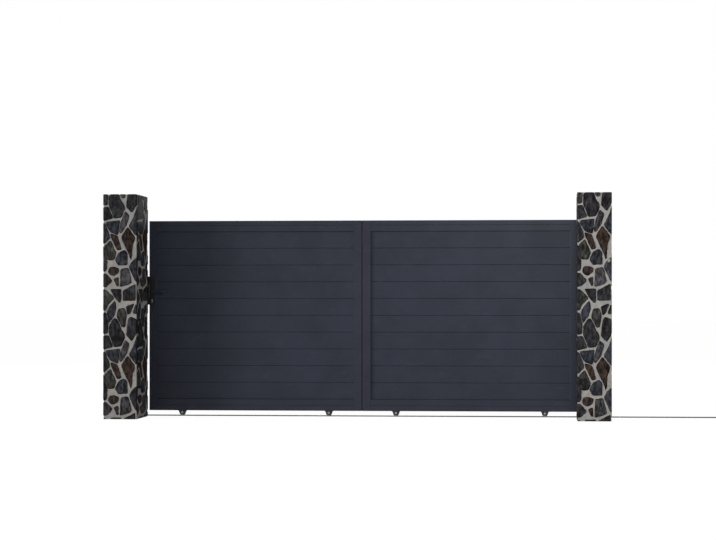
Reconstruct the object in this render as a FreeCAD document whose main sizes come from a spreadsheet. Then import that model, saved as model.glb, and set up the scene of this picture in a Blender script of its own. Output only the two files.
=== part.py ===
import FreeCAD, Part
import os
import Sketcher

# Sliding driveway gate between two stone pillars, millimetres.
# X runs from the left pillar to the right one, Y from the road into the property, Z up.
# The origin is the centre of the left pillar's base.

SIZES = {
    # Opening and pillars
    "clear_opening": 4000,
    "pillar_width": 310,
    "pillar_depth": 310,
    "pillar_rise": 221,
    # Leaf: two framed panels side by side
    "leaf_setback": 50,
    "leaf_overlap_left": 5,
    "leaf_overlap_right": 20,
    "leaf_depth": 50,
    "leaf_clearance": 52,
    "panel_gap": 11,
    "stile_width": 74,
    "top_rail_height": 100,
    "bottom_rail_height": 107,
    "frame_wall": 3,
    "frame_arris": 1.5,
    "shade_line_depth": 2,
    "top_shade_line": 44,
    "bottom_shade_line": 50,
    "cap_thickness": 3,
    "seal_recess": 12,
    # Slats
    "slat_count": 10,
    "slat_pitch": 157,
    "slat_thickness": 26,
    "slat_wall": 1.8,
    "slat_bevel": 3,
    "slat_gap": 0.4,
    "slat_entry": 12,
    "channel_depth": 14,
    "channel_play": 0.4,
    "tongue_width": 8,
    "tongue_height": 7,
    "tongue_play": 0.4,
    # Tail of the leaf, which stays in the guide when the gate is shut
    "tail_length": 270,
    "tail_height": 42,
    # Wheels and their carriers
    "wheel_inset": 310,
    "wheel_radius": 29,
    "wheel_ground_gap": 4.3,
    "wheel_width": 20,
    "wheel_rail_gap": 0.3,
    "axle_radius": 6,
    "running_play": 0.05,
    "axle_head_radius": 10,
    "axle_head_height": 4,
    "carrier_length": 75,
    "carrier_foot_length": 36,
    "carrier_foot_drop": 19,
    "carrier_plate": 4,
    "carrier_cheek": 3,
    "carrier_flange": 44,
    "wheel_side_play": 1,
    "wheel_slot_play": 5,
    # Ground rail
    "rail_lead": 90,
    "open_clearance": 38,
    "stop_gap": 5.5,
    "rail_joint": 0.8,
    "rail_strip_width": 40,
    "rail_strip_thickness": 3,
    "rail_bead_radius": 6,
    "stop_length": 80,
    "stop_height": 46,
    "stop_pad": 10,
    "stop_bead_play": 0.3,
    # Keeper on the left pillar
    "keeper_rise": 11,
    "keeper_height": 265,
    "keeper_leg": 84,
    "keeper_plate": 6,
    "keeper_box_length": 38,
    "keeper_box_wall": 3,
    "keeper_slot_height": 60,
    "keeper_slot_width": 14,
    "buffer_thickness": 5.7,
    "buffer_gap": 0.3,
    "buffer_height": 70,
    # Lock on the left stile
    "lock_centre": 29,
    "lever_height": 1165,
    "lock_centres": 78,
    "plate_width": 42,
    "plate_height": 272,
    "plate_thickness": 8,
    "plate_rise": 2,
    "plate_corner": 6,
    "lever_radius": 10,
    "lever_edge": 1.5,
    "lever_gap": 0.3,
    "lever_projection": 39,
    "lever_reach": 138,
    "spindle_width": 8,
    "spindle_socket": 12,
    "spindle_play": 0.15,
    "spindle_end_play": 1,
    "spindle_hole": 12,
    "cylinder_radius": 8.5,
    "cylinder_web": 10,
    "cylinder_height": 33,
    "cylinder_rise": 3,
    "cylinder_play": 0.2,
    "faceplate_width": 24,
    "faceplate_height": 240,
    "faceplate_play": 0.3,
    "bolt_slot_height": 40,
    "bolt_slot_width": 10,
    # Top guide on the right pillar
    "guide_inset": 50,
    "guide_length": 130,
    "guide_plate": 6,
    "guide_arm": 8,
    "guide_rise": 21,
    "guide_back_height": 110,
    "guide_overhang": 62,
    "guide_rib": 6,
    "guide_rib_height": 80,
    "roller_radius": 18,
    "roller_height": 34,
    "roller_top_drop": 4,
    "roller_gap": 0.3,
    "pin_head_radius": 10,
    "pin_head_height": 5,
    "pin_nut_height": 9,
    "pin_end_play": 0.3,
    "pin_radius": 6,
    # How far a cutting shape runs past the face that it opens
    "cut_margin": 1,
}

V = FreeCAD.Vector
doc = FreeCAD.newDocument("SlidingGate")
sheet = doc.addObject("Spreadsheet::Sheet", "Sizes")
for row, (alias, value) in enumerate(SIZES.items(), start=1):
    sheet.set("A%d" % row, alias)
    sheet.set("B%d" % row, str(value))
    sheet.setAlias("B%d" % row, alias)
doc.recompute()


class Length:
    """A size in millimetres, together with the sheet expression that gives it."""

    def __init__(self, value, text):
        self.value = value
        self.text = text

    def __add__(self, other):
        other = as_length(other)
        return Length(self.value + other.value, "(%s + %s)" % (self.text, other.text))

    def __sub__(self, other):
        other = as_length(other)
        return Length(self.value - other.value, "(%s - %s)" % (self.text, other.text))

    def __mul__(self, factor):
        factor = as_length(factor)
        return Length(self.value * factor.value, "(%s * %s)" % (self.text, factor.text))

    def __truediv__(self, factor):
        factor = as_length(factor)
        return Length(self.value / factor.value, "(%s / %s)" % (self.text, factor.text))

    def __neg__(self):
        return Length(-self.value, "(0 - %s)" % self.text)

    def __radd__(self, other):
        return as_length(other) + self

    def __rsub__(self, other):
        return as_length(other) - self

    def __rmul__(self, factor):
        return self * factor


def as_length(value):
    """Wrap a plain number, or return a Length as it is."""
    if isinstance(value, Length):
        return value
    return Length(value, "%g" % value)


def cell(alias):
    """The driving size held in the sheet's cell of that name."""
    return Length(SIZES[alias], "Sizes." + alias)


subparts = []


def keep(thing, label):
    """Name a finished sub-part, so that it is written out."""
    thing.Label = label
    subparts.append(thing)
    return thing


def bind(thing, name, length):
    """Set one size of an object from the sheet."""
    thing.setExpression(name, as_length(length).text)


def place(thing, x=0, y=0, z=0, rotation=None):
    """Put an object at a point worked out from the sheet, turned about itself if asked."""
    point = [as_length(value) for value in (x, y, z)]
    turn = rotation or FreeCAD.Rotation()
    thing.Placement = FreeCAD.Placement(V(*[value.value for value in point]), turn)
    for axis, value in zip("xyz", point):
        thing.setExpression("Placement.Base." + axis, value.text)
    return thing


def origin_plane(body, role):
    """The body's own origin plane or axis of that role."""
    for feature in body.Origin.OriginFeatures:
        if feature.Role == role:
            return feature
    raise ValueError("no origin feature " + role)


def new_body(name):
    return doc.addObject("PartDesign::Body", name)


def new_sketch(body, role, name, offset=0):
    """A sketch on one of the body's origin planes, moved along its normal by offset."""
    sketch = body.newObject("Sketcher::SketchObject", name)
    sketch.AttachmentSupport = [(origin_plane(body, role), "")]
    sketch.MapMode = "FlatFace"
    bind(sketch, "AttachmentOffset.Base.z", offset)
    return sketch


def fix_point(sketch, geometry, vertex, x, y):
    """Hold one vertex of the sketch at a place from the sheet."""
    for kind, length in (("DistanceX", x), ("DistanceY", y)):
        index = sketch.addConstraint(
            Sketcher.Constraint(kind, -1, 1, geometry, vertex, length.value))
        sketch.setExpression("Constraints[%d]" % index, length.text)


def draw_outline(sketch, corners):
    """A closed line through the corners, each one held at its place from the sheet."""
    corners = [(as_length(x), as_length(y)) for x, y in corners]
    first = sketch.GeometryCount
    total = len(corners)
    for index, (x, y) in enumerate(corners):
        next_x, next_y = corners[(index + 1) % total]
        start = V(x.value, y.value, 0)
        end = V(next_x.value, next_y.value, 0)
        sketch.addGeometry(Part.LineSegment(start, end), False)
    for index in range(total):
        following = (index + 1) % total
        sketch.addConstraint(
            Sketcher.Constraint("Coincident", first + index, 2, first + following, 1))
    for index, (x, y) in enumerate(corners):
        fix_point(sketch, first + index, 1, x, y)


def draw_circle(sketch, x, y, radius):
    """A circle whose centre and radius come from the sheet."""
    x = as_length(x)
    y = as_length(y)
    radius = as_length(radius)
    index = sketch.addGeometry(
        Part.Circle(V(x.value, y.value, 0), V(0, 0, 1), radius.value), False)
    fix_point(sketch, index, 3, x, y)
    size = sketch.addConstraint(Sketcher.Constraint("Radius", index, radius.value))
    sketch.setExpression("Constraints[%d]" % size, radius.text)


def rectangle(x0, y0, x1, y1):
    return [(x0, y0), (x1, y0), (x1, y1), (x0, y1)]


def pad(body, sketch, length, name, midplane=False, reverse=False):
    """Extrude a sketch of the body."""
    feature = body.newObject("PartDesign::Pad", name)
    feature.Profile = sketch
    feature.Midplane = midplane
    feature.Reversed = reverse
    bind(feature, "Length", length)
    doc.recompute()
    return feature


def pocket(body, sketch, length, name, midplane=False, reverse=False):
    """Cut a sketch out of the body, and make sure that it removed material."""
    before = body.Shape.Volume
    feature = body.newObject("PartDesign::Pocket", name)
    feature.Profile = sketch
    feature.Midplane = midplane
    feature.Reversed = reverse
    bind(feature, "Length", length)
    doc.recompute()
    if body.Shape.Volume >= before:
        raise ValueError(name + " cuts nothing")
    return feature


def revolve(body, sketch, role, name):
    """Turn a sketch of the body once round one of its origin axes."""
    feature = body.newObject("PartDesign::Revolution", name)
    feature.Profile = sketch
    feature.ReferenceAxis = (origin_plane(body, role), [""])
    feature.Angle = 360
    doc.recompute()
    return feature


def repeat(body, original, role, step, count, name):
    """Repeat a feature along one of the body's origin axes."""
    feature = body.newObject("PartDesign::LinearPattern", name)
    feature.Originals = [original]
    feature.Direction = (origin_plane(body, role), [""])
    bind(feature, "Length", step * (as_length(count) - 1))
    bind(feature, "Occurrences", count)
    body.Tip = feature
    doc.recompute()
    return feature


def dress_edges(body, base, kind, size, wanted, name):
    """Round or bevel the edges of a body's feature that a test picks out."""
    names = []
    for index, edge in enumerate(base.Shape.Edges, start=1):
        if wanted(edge):
            names.append("Edge%d" % index)
    feature = body.newObject("PartDesign::" + kind, name)
    feature.Base = (base, names)
    bind(feature, "Radius" if kind == "Fillet" else "Size", size)
    doc.recompute()
    return feature


def box(name, x0, y0, z0, x1, y1, z1):
    """A plain block between two opposite corners."""
    block = doc.addObject("Part::Box", name)
    bind(block, "Length", as_length(x1) - x0)
    bind(block, "Width", as_length(y1) - y0)
    bind(block, "Height", as_length(z1) - z0)
    return place(block, x0, y0, z0)


def rod_along_y(name, x, y0, z, y1, radius):
    """A cylinder whose axis lies along Y."""
    rod = doc.addObject("Part::Cylinder", name)
    bind(rod, "Radius", radius)
    bind(rod, "Height", as_length(y1) - y0)
    return place(rod, x, y0, z, FreeCAD.Rotation(V(1, 0, 0), -90))


def fuse(name, parts):
    joined = doc.addObject("Part::MultiFuse", name)
    joined.Shapes = parts
    joined.Refine = True
    return joined


def cut(name, base, tool):
    rest = doc.addObject("Part::Cut", name)
    rest.Base = base
    rest.Tool = tool
    return rest


def group(name, parts):
    """Several like solids, apart from each other, as one sub-part."""
    bundle = doc.addObject("Part::Compound", name)
    bundle.Links = parts
    return bundle


def is_straight_along(edge, axis):
    """True for a straight edge parallel to the axis."""
    if not isinstance(edge.Curve, Part.Line):
        return False
    return abs(abs(edge.Curve.Direction.dot(axis)) - 1) < 1e-6


# Places worked out from the driving sizes

margin = cell("cut_margin")
inner_left = cell("pillar_width") / 2
inner_right = inner_left + cell("clear_opening")
pillar_back = cell("pillar_depth") / 2

leaf_left = inner_left - cell("leaf_overlap_left")
leaf_front = pillar_back + cell("leaf_setback")
leaf_back = leaf_front + cell("leaf_depth")
leaf_middle = leaf_front + cell("leaf_depth") / 2
leaf_bottom = cell("leaf_clearance")
slat_zone_bottom = leaf_bottom + cell("bottom_rail_height")
slat_zone_height = cell("slat_pitch") * cell("slat_count")
slat_zone_top = slat_zone_bottom + slat_zone_height
leaf_top = slat_zone_top + cell("top_rail_height")
leaf_right = inner_right + cell("leaf_overlap_right")
panel_width = (leaf_right - leaf_left - cell("panel_gap")) / 2
panel_step = panel_width + cell("panel_gap")
rail_length = panel_width - cell("stile_width") * 2
pillar_height = leaf_top + cell("pillar_rise")

rail_top = cell("rail_strip_thickness") + cell("rail_bead_radius")
axle_height = cell("wheel_ground_gap") + cell("wheel_radius")
wheel_spacing = panel_width - cell("wheel_inset") * 2

lock_x = leaf_left + cell("lock_centre")
keeper_centre = cell("lever_height") + cell("keeper_rise")
leaf_travel = inner_right - cell("open_clearance") - cell("lever_reach") - lock_x
last_wheel = leaf_right - cell("wheel_inset")
stop_start = last_wheel + cell("carrier_length") / 2 + leaf_travel + cell("stop_gap")
rail_start = leaf_left - cell("rail_lead")
rail_end = stop_start + cell("stop_pad") + cell("stop_length")
key_height = cell("lever_height") - cell("lock_centres")
cylinder_drop = cell("cylinder_height") - cell("cylinder_radius")
faceplate_bottom = keeper_centre - cell("faceplate_height") / 2
faceplate_top = faceplate_bottom + cell("faceplate_height")


# Pillars

def make_pillar(label, x_centre):
    """One square pillar of solid masonry, from the ground up."""
    half = cell("pillar_width") / 2
    pillar = box(label, x_centre - half, -pillar_back, 0,
                 x_centre + half, pillar_back, pillar_height)
    return keep(pillar, label)


make_pillar("left_pillar", as_length(0))
make_pillar("right_pillar", inner_right + cell("pillar_width") / 2)


# Frame profiles of the panels

slot = cell("slat_thickness") + cell("channel_play") * 2
slot_start = (cell("leaf_depth") - slot) / 2
slot_end = slot_start + slot
wall = cell("frame_wall")


def make_stile(label, x_outer, side):
    """An upright of hollow section, with a channel for the slat ends on its inner side.

    side is 1 where the panel lies to the right of the stile, and -1 where it lies to the left.
    """
    width = cell("stile_width")
    depth = cell("leaf_depth")
    floor = width - cell("channel_depth")
    outline = [
        (0, 0), (width, 0), (width, slot_start), (floor, slot_start),
        (floor, slot_end), (width, slot_end), (width, depth), (0, depth),
    ]
    chamber = [
        (wall, wall), (width - wall, wall), (width - wall, slot_start - wall),
        (floor - wall, slot_start - wall), (floor - wall, slot_end + wall),
        (width - wall, slot_end + wall), (width - wall, depth - wall), (wall, depth - wall),
    ]
    body = new_body(label)
    sketch = new_sketch(body, "XY_Plane", label + "_section")
    draw_outline(sketch, [(as_length(x) * side, y) for x, y in outline])
    draw_outline(sketch, [(as_length(x) * side, y) for x, y in chamber])
    height = leaf_top - leaf_bottom - cell("cap_thickness") * 2
    column = pad(body, sketch, height, label + "_column")
    far = cell("leaf_depth").value

    def is_corner(edge):
        if not is_straight_along(edge, V(0, 0, 1)):
            return False
        point = edge.Vertexes[0].Point
        on_face = min(abs(point.y), abs(point.y - far)) < 1e-6
        return on_face

    dress_edges(body, column, "Chamfer", cell("frame_arris"), is_corner, label + "_arris")
    place(body, x_outer, leaf_front, leaf_bottom + cell("cap_thickness"))
    return body


def shade_line(x, height, side):
    """Three corners of a shallow V along a rail's face, in the order of a rising face."""
    depth = cell("shade_line_depth")
    return [(x, height - depth * side), (x + depth * side, height), (x, height + depth * side)]


def make_top_rail(label, x_start):
    """A hollow rail whose underside takes the top slat's tongue."""
    depth = cell("leaf_depth")
    height = cell("top_rail_height")
    play = cell("tongue_play")
    groove_start = (depth - cell("tongue_width")) / 2 - play
    groove_end = depth - groove_start
    groove_top = cell("tongue_height") + play * 2
    line = height - cell("top_shade_line")
    outline = [
        (0, 0), (groove_start, 0), (groove_start, groove_top), (groove_end, groove_top),
        (groove_end, 0), (depth, 0),
    ]
    outline += shade_line(depth, line, -1)[::-1]
    outline += [(depth, height), (0, height)]
    outline += shade_line(as_length(0), line, 1)[::-1]
    chamber = rectangle(wall, groove_top + wall, depth - wall, height - wall)
    body = new_body(label)
    sketch = new_sketch(body, "YZ_Plane", label + "_section")
    draw_outline(sketch, outline)
    draw_outline(sketch, chamber)
    pad(body, sketch, rail_length, label + "_bar")
    place(body, x_start, leaf_front, slat_zone_top)
    return keep(body, label)


def make_bottom_rail(label, x_start):
    """A hollow rail with a tongue for the lowest slat and two slots for the wheels."""
    depth = cell("leaf_depth")
    height = cell("bottom_rail_height")
    tongue_start = (depth - cell("tongue_width")) / 2
    tongue_end = depth - tongue_start
    tongue_top = height + cell("tongue_height")
    line = cell("bottom_shade_line")
    outline = [(0, 0), (depth, 0)]
    outline += shade_line(depth, line, -1)[::-1]
    outline += [
        (depth, height), (tongue_end, height), (tongue_end, tongue_top),
        (tongue_start, tongue_top), (tongue_start, height), (0, height),
    ]
    outline += shade_line(as_length(0), line, 1)[::-1]
    chamber = rectangle(wall, wall, depth - wall, height - wall)
    body = new_body(label)
    sketch = new_sketch(body, "YZ_Plane", label + "_section")
    draw_outline(sketch, outline)
    draw_outline(sketch, chamber)
    pad(body, sketch, rail_length, label + "_bar")
    half_slot = cell("wheel_radius") + cell("wheel_slot_play")
    half_width = cell("wheel_width") / 2 + cell("wheel_side_play")
    first = cell("wheel_inset") - cell("stile_width")
    slots = new_sketch(body, "XY_Plane", label + "_slot_outline")
    draw_outline(slots, rectangle(first - half_slot, depth / 2 - half_width,
                                  first + half_slot, depth / 2 + half_width))
    opening = pocket(body, slots, wall * 1.5, label + "_slot", reverse=True)
    repeat(body, opening, "X_Axis", wheel_spacing, 2, label + "_slots")
    place(body, x_start, leaf_front, leaf_bottom)
    return keep(body, label)


# Slats

def make_slats(label, x_start):
    """Hollow boards stacked edge to edge, each with a tongue above and a groove below."""
    thick = cell("slat_thickness")
    height = cell("slat_pitch") - cell("slat_gap")
    bevel = cell("slat_bevel")
    skin = cell("slat_wall")
    tongue_start = (thick - cell("tongue_width")) / 2
    tongue_end = thick - tongue_start
    tongue_top = height + cell("tongue_height")
    groove_start = tongue_start - cell("tongue_play")
    groove_end = tongue_end + cell("tongue_play")
    groove_top = cell("tongue_height") + cell("tongue_play")
    outline = [
        (0, bevel), (bevel, 0), (groove_start, 0), (groove_start, groove_top),
        (groove_end, groove_top), (groove_end, 0), (thick - bevel, 0), (thick, bevel),
        (thick, height - bevel), (thick - bevel, height), (tongue_end, height),
        (tongue_end, tongue_top), (tongue_start, tongue_top), (tongue_start, height),
        (bevel, height), (0, height - bevel),
    ]
    middle = (height + groove_top) / 2
    body = new_body(label)
    sketch = new_sketch(body, "YZ_Plane", label + "_section")
    draw_outline(sketch, outline)
    draw_outline(sketch, rectangle(skin, groove_top + skin, thick - skin, middle - skin / 2))
    draw_outline(sketch, rectangle(skin, middle + skin / 2, thick - skin, height - skin - bevel))
    length = rail_length + cell("slat_entry") * 2
    board = pad(body, sketch, length, label + "_board")
    repeat(body, board, "Z_Axis", cell("slat_pitch"), cell("slat_count"), label + "_stack")
    place(body, x_start - cell("slat_entry"), leaf_middle - thick / 2,
          slat_zone_bottom + cell("slat_gap") / 2)
    return keep(body, label)


def euro_profile(name, y0, y1, play):
    """The keyhole section of a lock cylinder, as a solid from y0 to y1, larger by play."""
    radius = cell("cylinder_radius") + play
    half_web = cell("cylinder_web") / 2 + play
    foot = key_height - cylinder_drop + cell("cylinder_web") / 2
    barrel = rod_along_y(name + "_barrel", lock_x, y0, key_height, y1, radius)
    web = box(name + "_web", lock_x - half_web, y0, foot, lock_x + half_web, y1, key_height)
    toe = rod_along_y(name + "_toe", lock_x, y0, foot, y1, half_web)
    return fuse(name + "_profile", [barrel, web, toe])


def cut_lock_seats(stile):
    """The lock stile's holes for the spindle, the cylinder and the plate on its end."""
    past_front = leaf_front - wall
    past_back = leaf_back + wall
    half_hole = cell("spindle_hole") / 2
    spindle_way = box("spindle_way", lock_x - half_hole, past_front,
                      cell("lever_height") - half_hole, lock_x + half_hole, past_back,
                      cell("lever_height") + half_hole)
    side = cell("cylinder_radius") + cell("cylinder_play")
    cylinder_way = box("cylinder_way", lock_x - side, past_front,
                       key_height - cylinder_drop - cell("cylinder_play"), lock_x + side,
                       past_back, key_height + side)
    half = cell("faceplate_width") / 2 + cell("faceplate_play")
    face_way = box("face_way", leaf_left - wall, leaf_middle - half,
                   faceplate_bottom - cell("faceplate_play"), leaf_left + wall * 1.5,
                   leaf_middle + half, faceplate_top + cell("faceplate_play"))
    return cut("lock_stile", stile, fuse("lock_ways", [spindle_way, cylinder_way, face_way]))


caps = []


def make_panel(name, x_left, with_lock):
    """One framed panel: two stiles, two rails and the slats between them."""
    x_right = x_left + panel_width
    left_stile = make_stile(name + "_left_upright", x_left, 1)
    right_stile = make_stile(name + "_right_upright", x_right, -1)
    if with_lock:
        left_stile = cut_lock_seats(left_stile)
    keep(left_stile, name + "_left_stile")
    keep(right_stile, name + "_right_stile")
    x_rails = x_left + cell("stile_width")
    make_top_rail(name + "_top_rail", x_rails)
    make_bottom_rail(name + "_bottom_rail", x_rails)
    make_slats(name + "_slats", x_rails)
    for stile_start in (x_left, x_right - cell("stile_width")):
        stile_end = stile_start + cell("stile_width")
        for z_cap in (leaf_bottom, leaf_top - cell("cap_thickness")):
            caps.append(box("%s_cap_%d" % (name, len(caps) + 1), stile_start, leaf_front, z_cap,
                            stile_end, leaf_back, z_cap + cell("cap_thickness")))


make_panel("left_panel", leaf_left, True)
make_panel("right_panel", leaf_left + panel_step, False)
keep(group("caps", caps), "stile_caps")

seal_recess = cell("seal_recess")
seal = box("seal", leaf_left + panel_width, leaf_front + seal_recess, leaf_bottom,
           leaf_left + panel_step, leaf_back - seal_recess, leaf_top)
keep(seal, "panel_joint_strip")


# Tail of the leaf

def make_tail():
    """A hollow bar that carries the leaf's top edge on behind the right pillar."""
    depth = cell("leaf_depth")
    height = cell("tail_height")
    body = new_body("tail_bar")
    sketch = new_sketch(body, "YZ_Plane", "tail_section")
    draw_outline(sketch, rectangle(0, 0, depth, height))
    draw_outline(sketch, rectangle(wall, wall, depth - wall, height - wall))
    pad(body, sketch, cell("tail_length") - cell("cap_thickness"), "tail_length")
    place(body, leaf_right, leaf_front, leaf_top - height)
    keep(body, "tail_bar")
    tail_end = leaf_right + cell("tail_length")
    cap = box("tail_end_cap", tail_end - cell("cap_thickness"), leaf_front, leaf_top - height,
              tail_end, leaf_back, leaf_top)
    keep(cap, "tail_cap")


make_tail()


# Wheels

half_wheel = cell("wheel_width") / 2
cheek_inside = half_wheel + cell("wheel_side_play")
cheek_outside = cheek_inside + cell("carrier_cheek")


def make_carrier(label, x_centre):
    """A forked bracket under the bottom rail: a flanged plate and two tapered cheeks."""
    half_top = cell("carrier_length") / 2
    half_foot = cell("carrier_foot_length") / 2
    foot = axle_height - cell("carrier_foot_drop")
    body = new_body(label)
    cheeks = new_sketch(body, "XZ_Plane", label + "_side")
    draw_outline(cheeks, [(-half_foot, foot), (half_foot, foot),
                          (half_top, leaf_bottom), (-half_top, leaf_bottom)])
    block = pad(body, cheeks, cheek_outside * 2, label + "_cheeks", midplane=True)
    plate_bottom = leaf_bottom - cell("carrier_plate")
    flange = new_sketch(body, "XY_Plane", label + "_flange", plate_bottom)
    half_flange = cell("carrier_flange") / 2
    draw_outline(flange, rectangle(-half_top, -half_flange, half_top, half_flange))
    pad(body, flange, cell("carrier_plate"), label + "_plate")
    bay = new_sketch(body, "YZ_Plane", label + "_bay_section")
    draw_outline(bay, rectangle(-cheek_inside, foot - margin, cheek_inside, plate_bottom))
    pocket(body, bay, half_top * 2 + margin * 2, label + "_bay", midplane=True)
    half_slot = cell("wheel_radius") + cell("wheel_slot_play")
    window = new_sketch(body, "XY_Plane", label + "_window_outline", leaf_bottom)
    draw_outline(window, rectangle(-half_slot, -cheek_inside, half_slot, cheek_inside))
    pocket(body, window, cell("carrier_plate") + margin, label + "_window")
    bore = new_sketch(body, "XZ_Plane", label + "_bore_outline")
    draw_circle(bore, 0, axle_height, cell("axle_radius") + cell("running_play"))
    bored = pocket(body, bore, cheek_outside * 2 + margin * 2, label + "_bore", midplane=True)
    foot_value = foot.value

    def is_foot_corner(edge):
        if not is_straight_along(edge, V(0, 1, 0)):
            return False
        return abs(edge.Vertexes[0].Point.z - foot_value) < 1e-6

    dress_edges(body, bored, "Fillet", half_foot * 0.6, is_foot_corner, label + "_foot")
    return place(body, x_centre, leaf_middle, 0)


def make_wheel(label, x_centre):
    """A wheel turned with a groove between two flanges, which stand astride the rail's bead."""
    radius = cell("wheel_radius")
    bore = cell("axle_radius") + cell("running_play")
    half_groove = cell("rail_bead_radius") + cell("wheel_rail_gap")
    root = axle_height - rail_top - cell("wheel_rail_gap")
    outline = [
        (-half_wheel, bore), (half_wheel, bore), (half_wheel, radius), (half_groove, radius),
        (half_groove, root), (-half_groove, root), (-half_groove, radius),
        (-half_wheel, radius),
    ]
    body = new_body(label)
    sketch = new_sketch(body, "XY_Plane", label + "_section")
    draw_outline(sketch, outline)
    revolve(body, sketch, "X_Axis", label + "_turned")
    place(body, x_centre, leaf_middle, axle_height, FreeCAD.Rotation(V(0, 0, 1), 90))
    return keep(body, label)


def hexagon(name, x, y0, z, y1, radius):
    """A six-sided head or nut whose axis lies along Y."""
    nut = doc.addObject("Part::Prism", name)
    nut.Polygon = 6
    bind(nut, "Circumradius", radius)
    bind(nut, "Height", as_length(y1) - y0)
    return place(nut, x, y0, z, FreeCAD.Rotation(V(1, 0, 0), -90))


def make_axle(name, x_centre):
    """A bolt through both cheeks, with its head on the road side and its nut on the other."""
    head = cell("axle_head_radius")
    grip = cheek_outside
    end = grip + cell("axle_head_height")
    shank = rod_along_y(name + "_shank", x_centre, leaf_middle - grip, axle_height,
                        leaf_middle + grip, cell("axle_radius"))
    front_head = hexagon(name + "_head", x_centre, leaf_middle - end, axle_height,
                         leaf_middle - grip, head)
    back_nut = hexagon(name + "_nut", x_centre, leaf_middle + grip, axle_height,
                       leaf_middle + end, head)
    return fuse(name, [shank, front_head, back_nut])


carriers = []
axles = []
for panel in range(2):
    for wheel in range(2):
        number = panel * 2 + wheel + 1
        x_wheel = leaf_left + cell("wheel_inset")
        if panel:
            x_wheel = x_wheel + panel_step
        if wheel:
            x_wheel = x_wheel + wheel_spacing
        carriers.append(make_carrier("carrier_%d" % number, x_wheel))
        make_wheel("wheel_%d" % number, x_wheel)
        axles.append(make_axle("axle_%d" % number, x_wheel))
keep(group("carriers", carriers), "wheel_carriers")
keep(group("axles", axles), "wheel_axles")


# Ground rail

RAIL_PIECES = 3
joints_length = cell("rail_joint") * (RAIL_PIECES - 1)
piece_length = (rail_end - rail_start - joints_length) / RAIL_PIECES


def make_rail_piece(label, x_start):
    """One length of rail: a flat strip with a half-round bead along its middle."""
    half = cell("rail_strip_width") / 2
    thick = cell("rail_strip_thickness")
    bead = cell("rail_bead_radius")
    body = new_body(label)
    strip = new_sketch(body, "YZ_Plane", label + "_strip_section")
    draw_outline(strip, rectangle(-half, 0, half, thick))
    pad(body, strip, piece_length, label + "_strip")
    crown = new_sketch(body, "YZ_Plane", label + "_bead_section")
    arc = crown.addGeometry(
        Part.Arc(V(bead.value, thick.value, 0), V(0, thick.value + bead.value, 0),
                 V(-bead.value, thick.value, 0)), False)
    chord = crown.addGeometry(
        Part.LineSegment(V(-bead.value, thick.value, 0), V(bead.value, thick.value, 0)), False)
    crown.addConstraint(Sketcher.Constraint("Coincident", arc, 2, chord, 1))
    crown.addConstraint(Sketcher.Constraint("Coincident", arc, 1, chord, 2))
    fix_point(crown, chord, 1, -bead, thick)
    fix_point(crown, chord, 2, bead, thick)
    seat = crown.addConstraint(Sketcher.Constraint("DistanceY", -1, 1, arc, 3, thick.value))
    crown.setExpression("Constraints[%d]" % seat, thick.text)
    pad(body, crown, piece_length, label + "_bead")
    place(body, x_start, leaf_middle, 0)
    return keep(body, label)


for number in range(RAIL_PIECES):
    start = rail_start + (piece_length + cell("rail_joint")) * number
    make_rail_piece("ground_rail_%d" % (number + 1), start)


def make_rail_stop():
    """A block over the rail's bead, which stops the last wheel carrier when the gate is open."""
    half = cell("rail_strip_width") / 2
    bead = cell("rail_bead_radius") + cell("stop_bead_play")
    thick = cell("rail_strip_thickness")
    start = stop_start + cell("stop_pad")
    block = box("stop_block", start, leaf_middle - half, thick, rail_end, leaf_middle + half,
                cell("stop_height"))
    way = doc.addObject("Part::Cylinder", "stop_way")
    bind(way, "Radius", bead)
    bind(way, "Height", cell("stop_length") + margin * 2)
    place(way, start - margin, leaf_middle, thick, FreeCAD.Rotation(V(0, 1, 0), 90))
    keep(cut("stop", block, way), "rail_stop")
    pad_block = box("stop_pad_block", stop_start, leaf_middle - half,
                    rail_top + cell("stop_bead_play"), start, leaf_middle + half,
                    cell("stop_height"))
    keep(pad_block, "rail_stop_buffer")


make_rail_stop()


# Keeper on the left pillar

def make_keeper():
    """An angle on the pillar's back that holds a slotted box in line with the leaf's end."""
    low = keeper_centre - cell("keeper_height") / 2
    high = low + cell("keeper_height")
    plate = cell("keeper_plate")
    skin = cell("keeper_box_wall")
    box_end = leaf_left - cell("buffer_gap") - cell("buffer_thickness")
    box_start = box_end - cell("keeper_box_length")
    web_start = box_start - plate
    leg_start = box_start - cell("keeper_leg")
    body = new_body("keeper_bracket")
    sketch = new_sketch(body, "XY_Plane", "keeper_angle")
    draw_outline(sketch, [
        (leg_start, pillar_back), (box_start, pillar_back), (box_start, leaf_back),
        (web_start, leaf_back), (web_start, pillar_back + plate), (leg_start, pillar_back + plate),
    ])
    pad(body, sketch, cell("keeper_height"), "keeper_angle_height")
    place(body, 0, 0, low)
    keep(body, "keeper_bracket")

    outer = box("keeper_outer", box_start, leaf_front, low, box_end, leaf_back, high)
    inner = box("keeper_inner", box_start - margin, leaf_front + skin, low + skin, box_end - skin,
                leaf_back - skin, high - skin)
    half_slot = cell("keeper_slot_width") / 2
    half_height = cell("keeper_slot_height") / 2
    centre = keeper_centre
    hook_way = box("hook_way", box_end - skin * 2, leaf_middle - half_slot, centre - half_height,
                   box_end + margin, leaf_middle + half_slot, centre + half_height)
    keep(cut("keeper_shell", outer, fuse("keeper_hollow", [inner, hook_way])), "keeper_box")

    pads = []
    for z_pad in (low, high - cell("buffer_height")):
        pads.append(box("buffer_%d" % (len(pads) + 1), box_end, leaf_front, z_pad,
                        box_end + cell("buffer_thickness"), leaf_back,
                        z_pad + cell("buffer_height")))
    keep(group("buffers", pads), "keeper_buffers")


make_keeper()


# Lock

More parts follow.
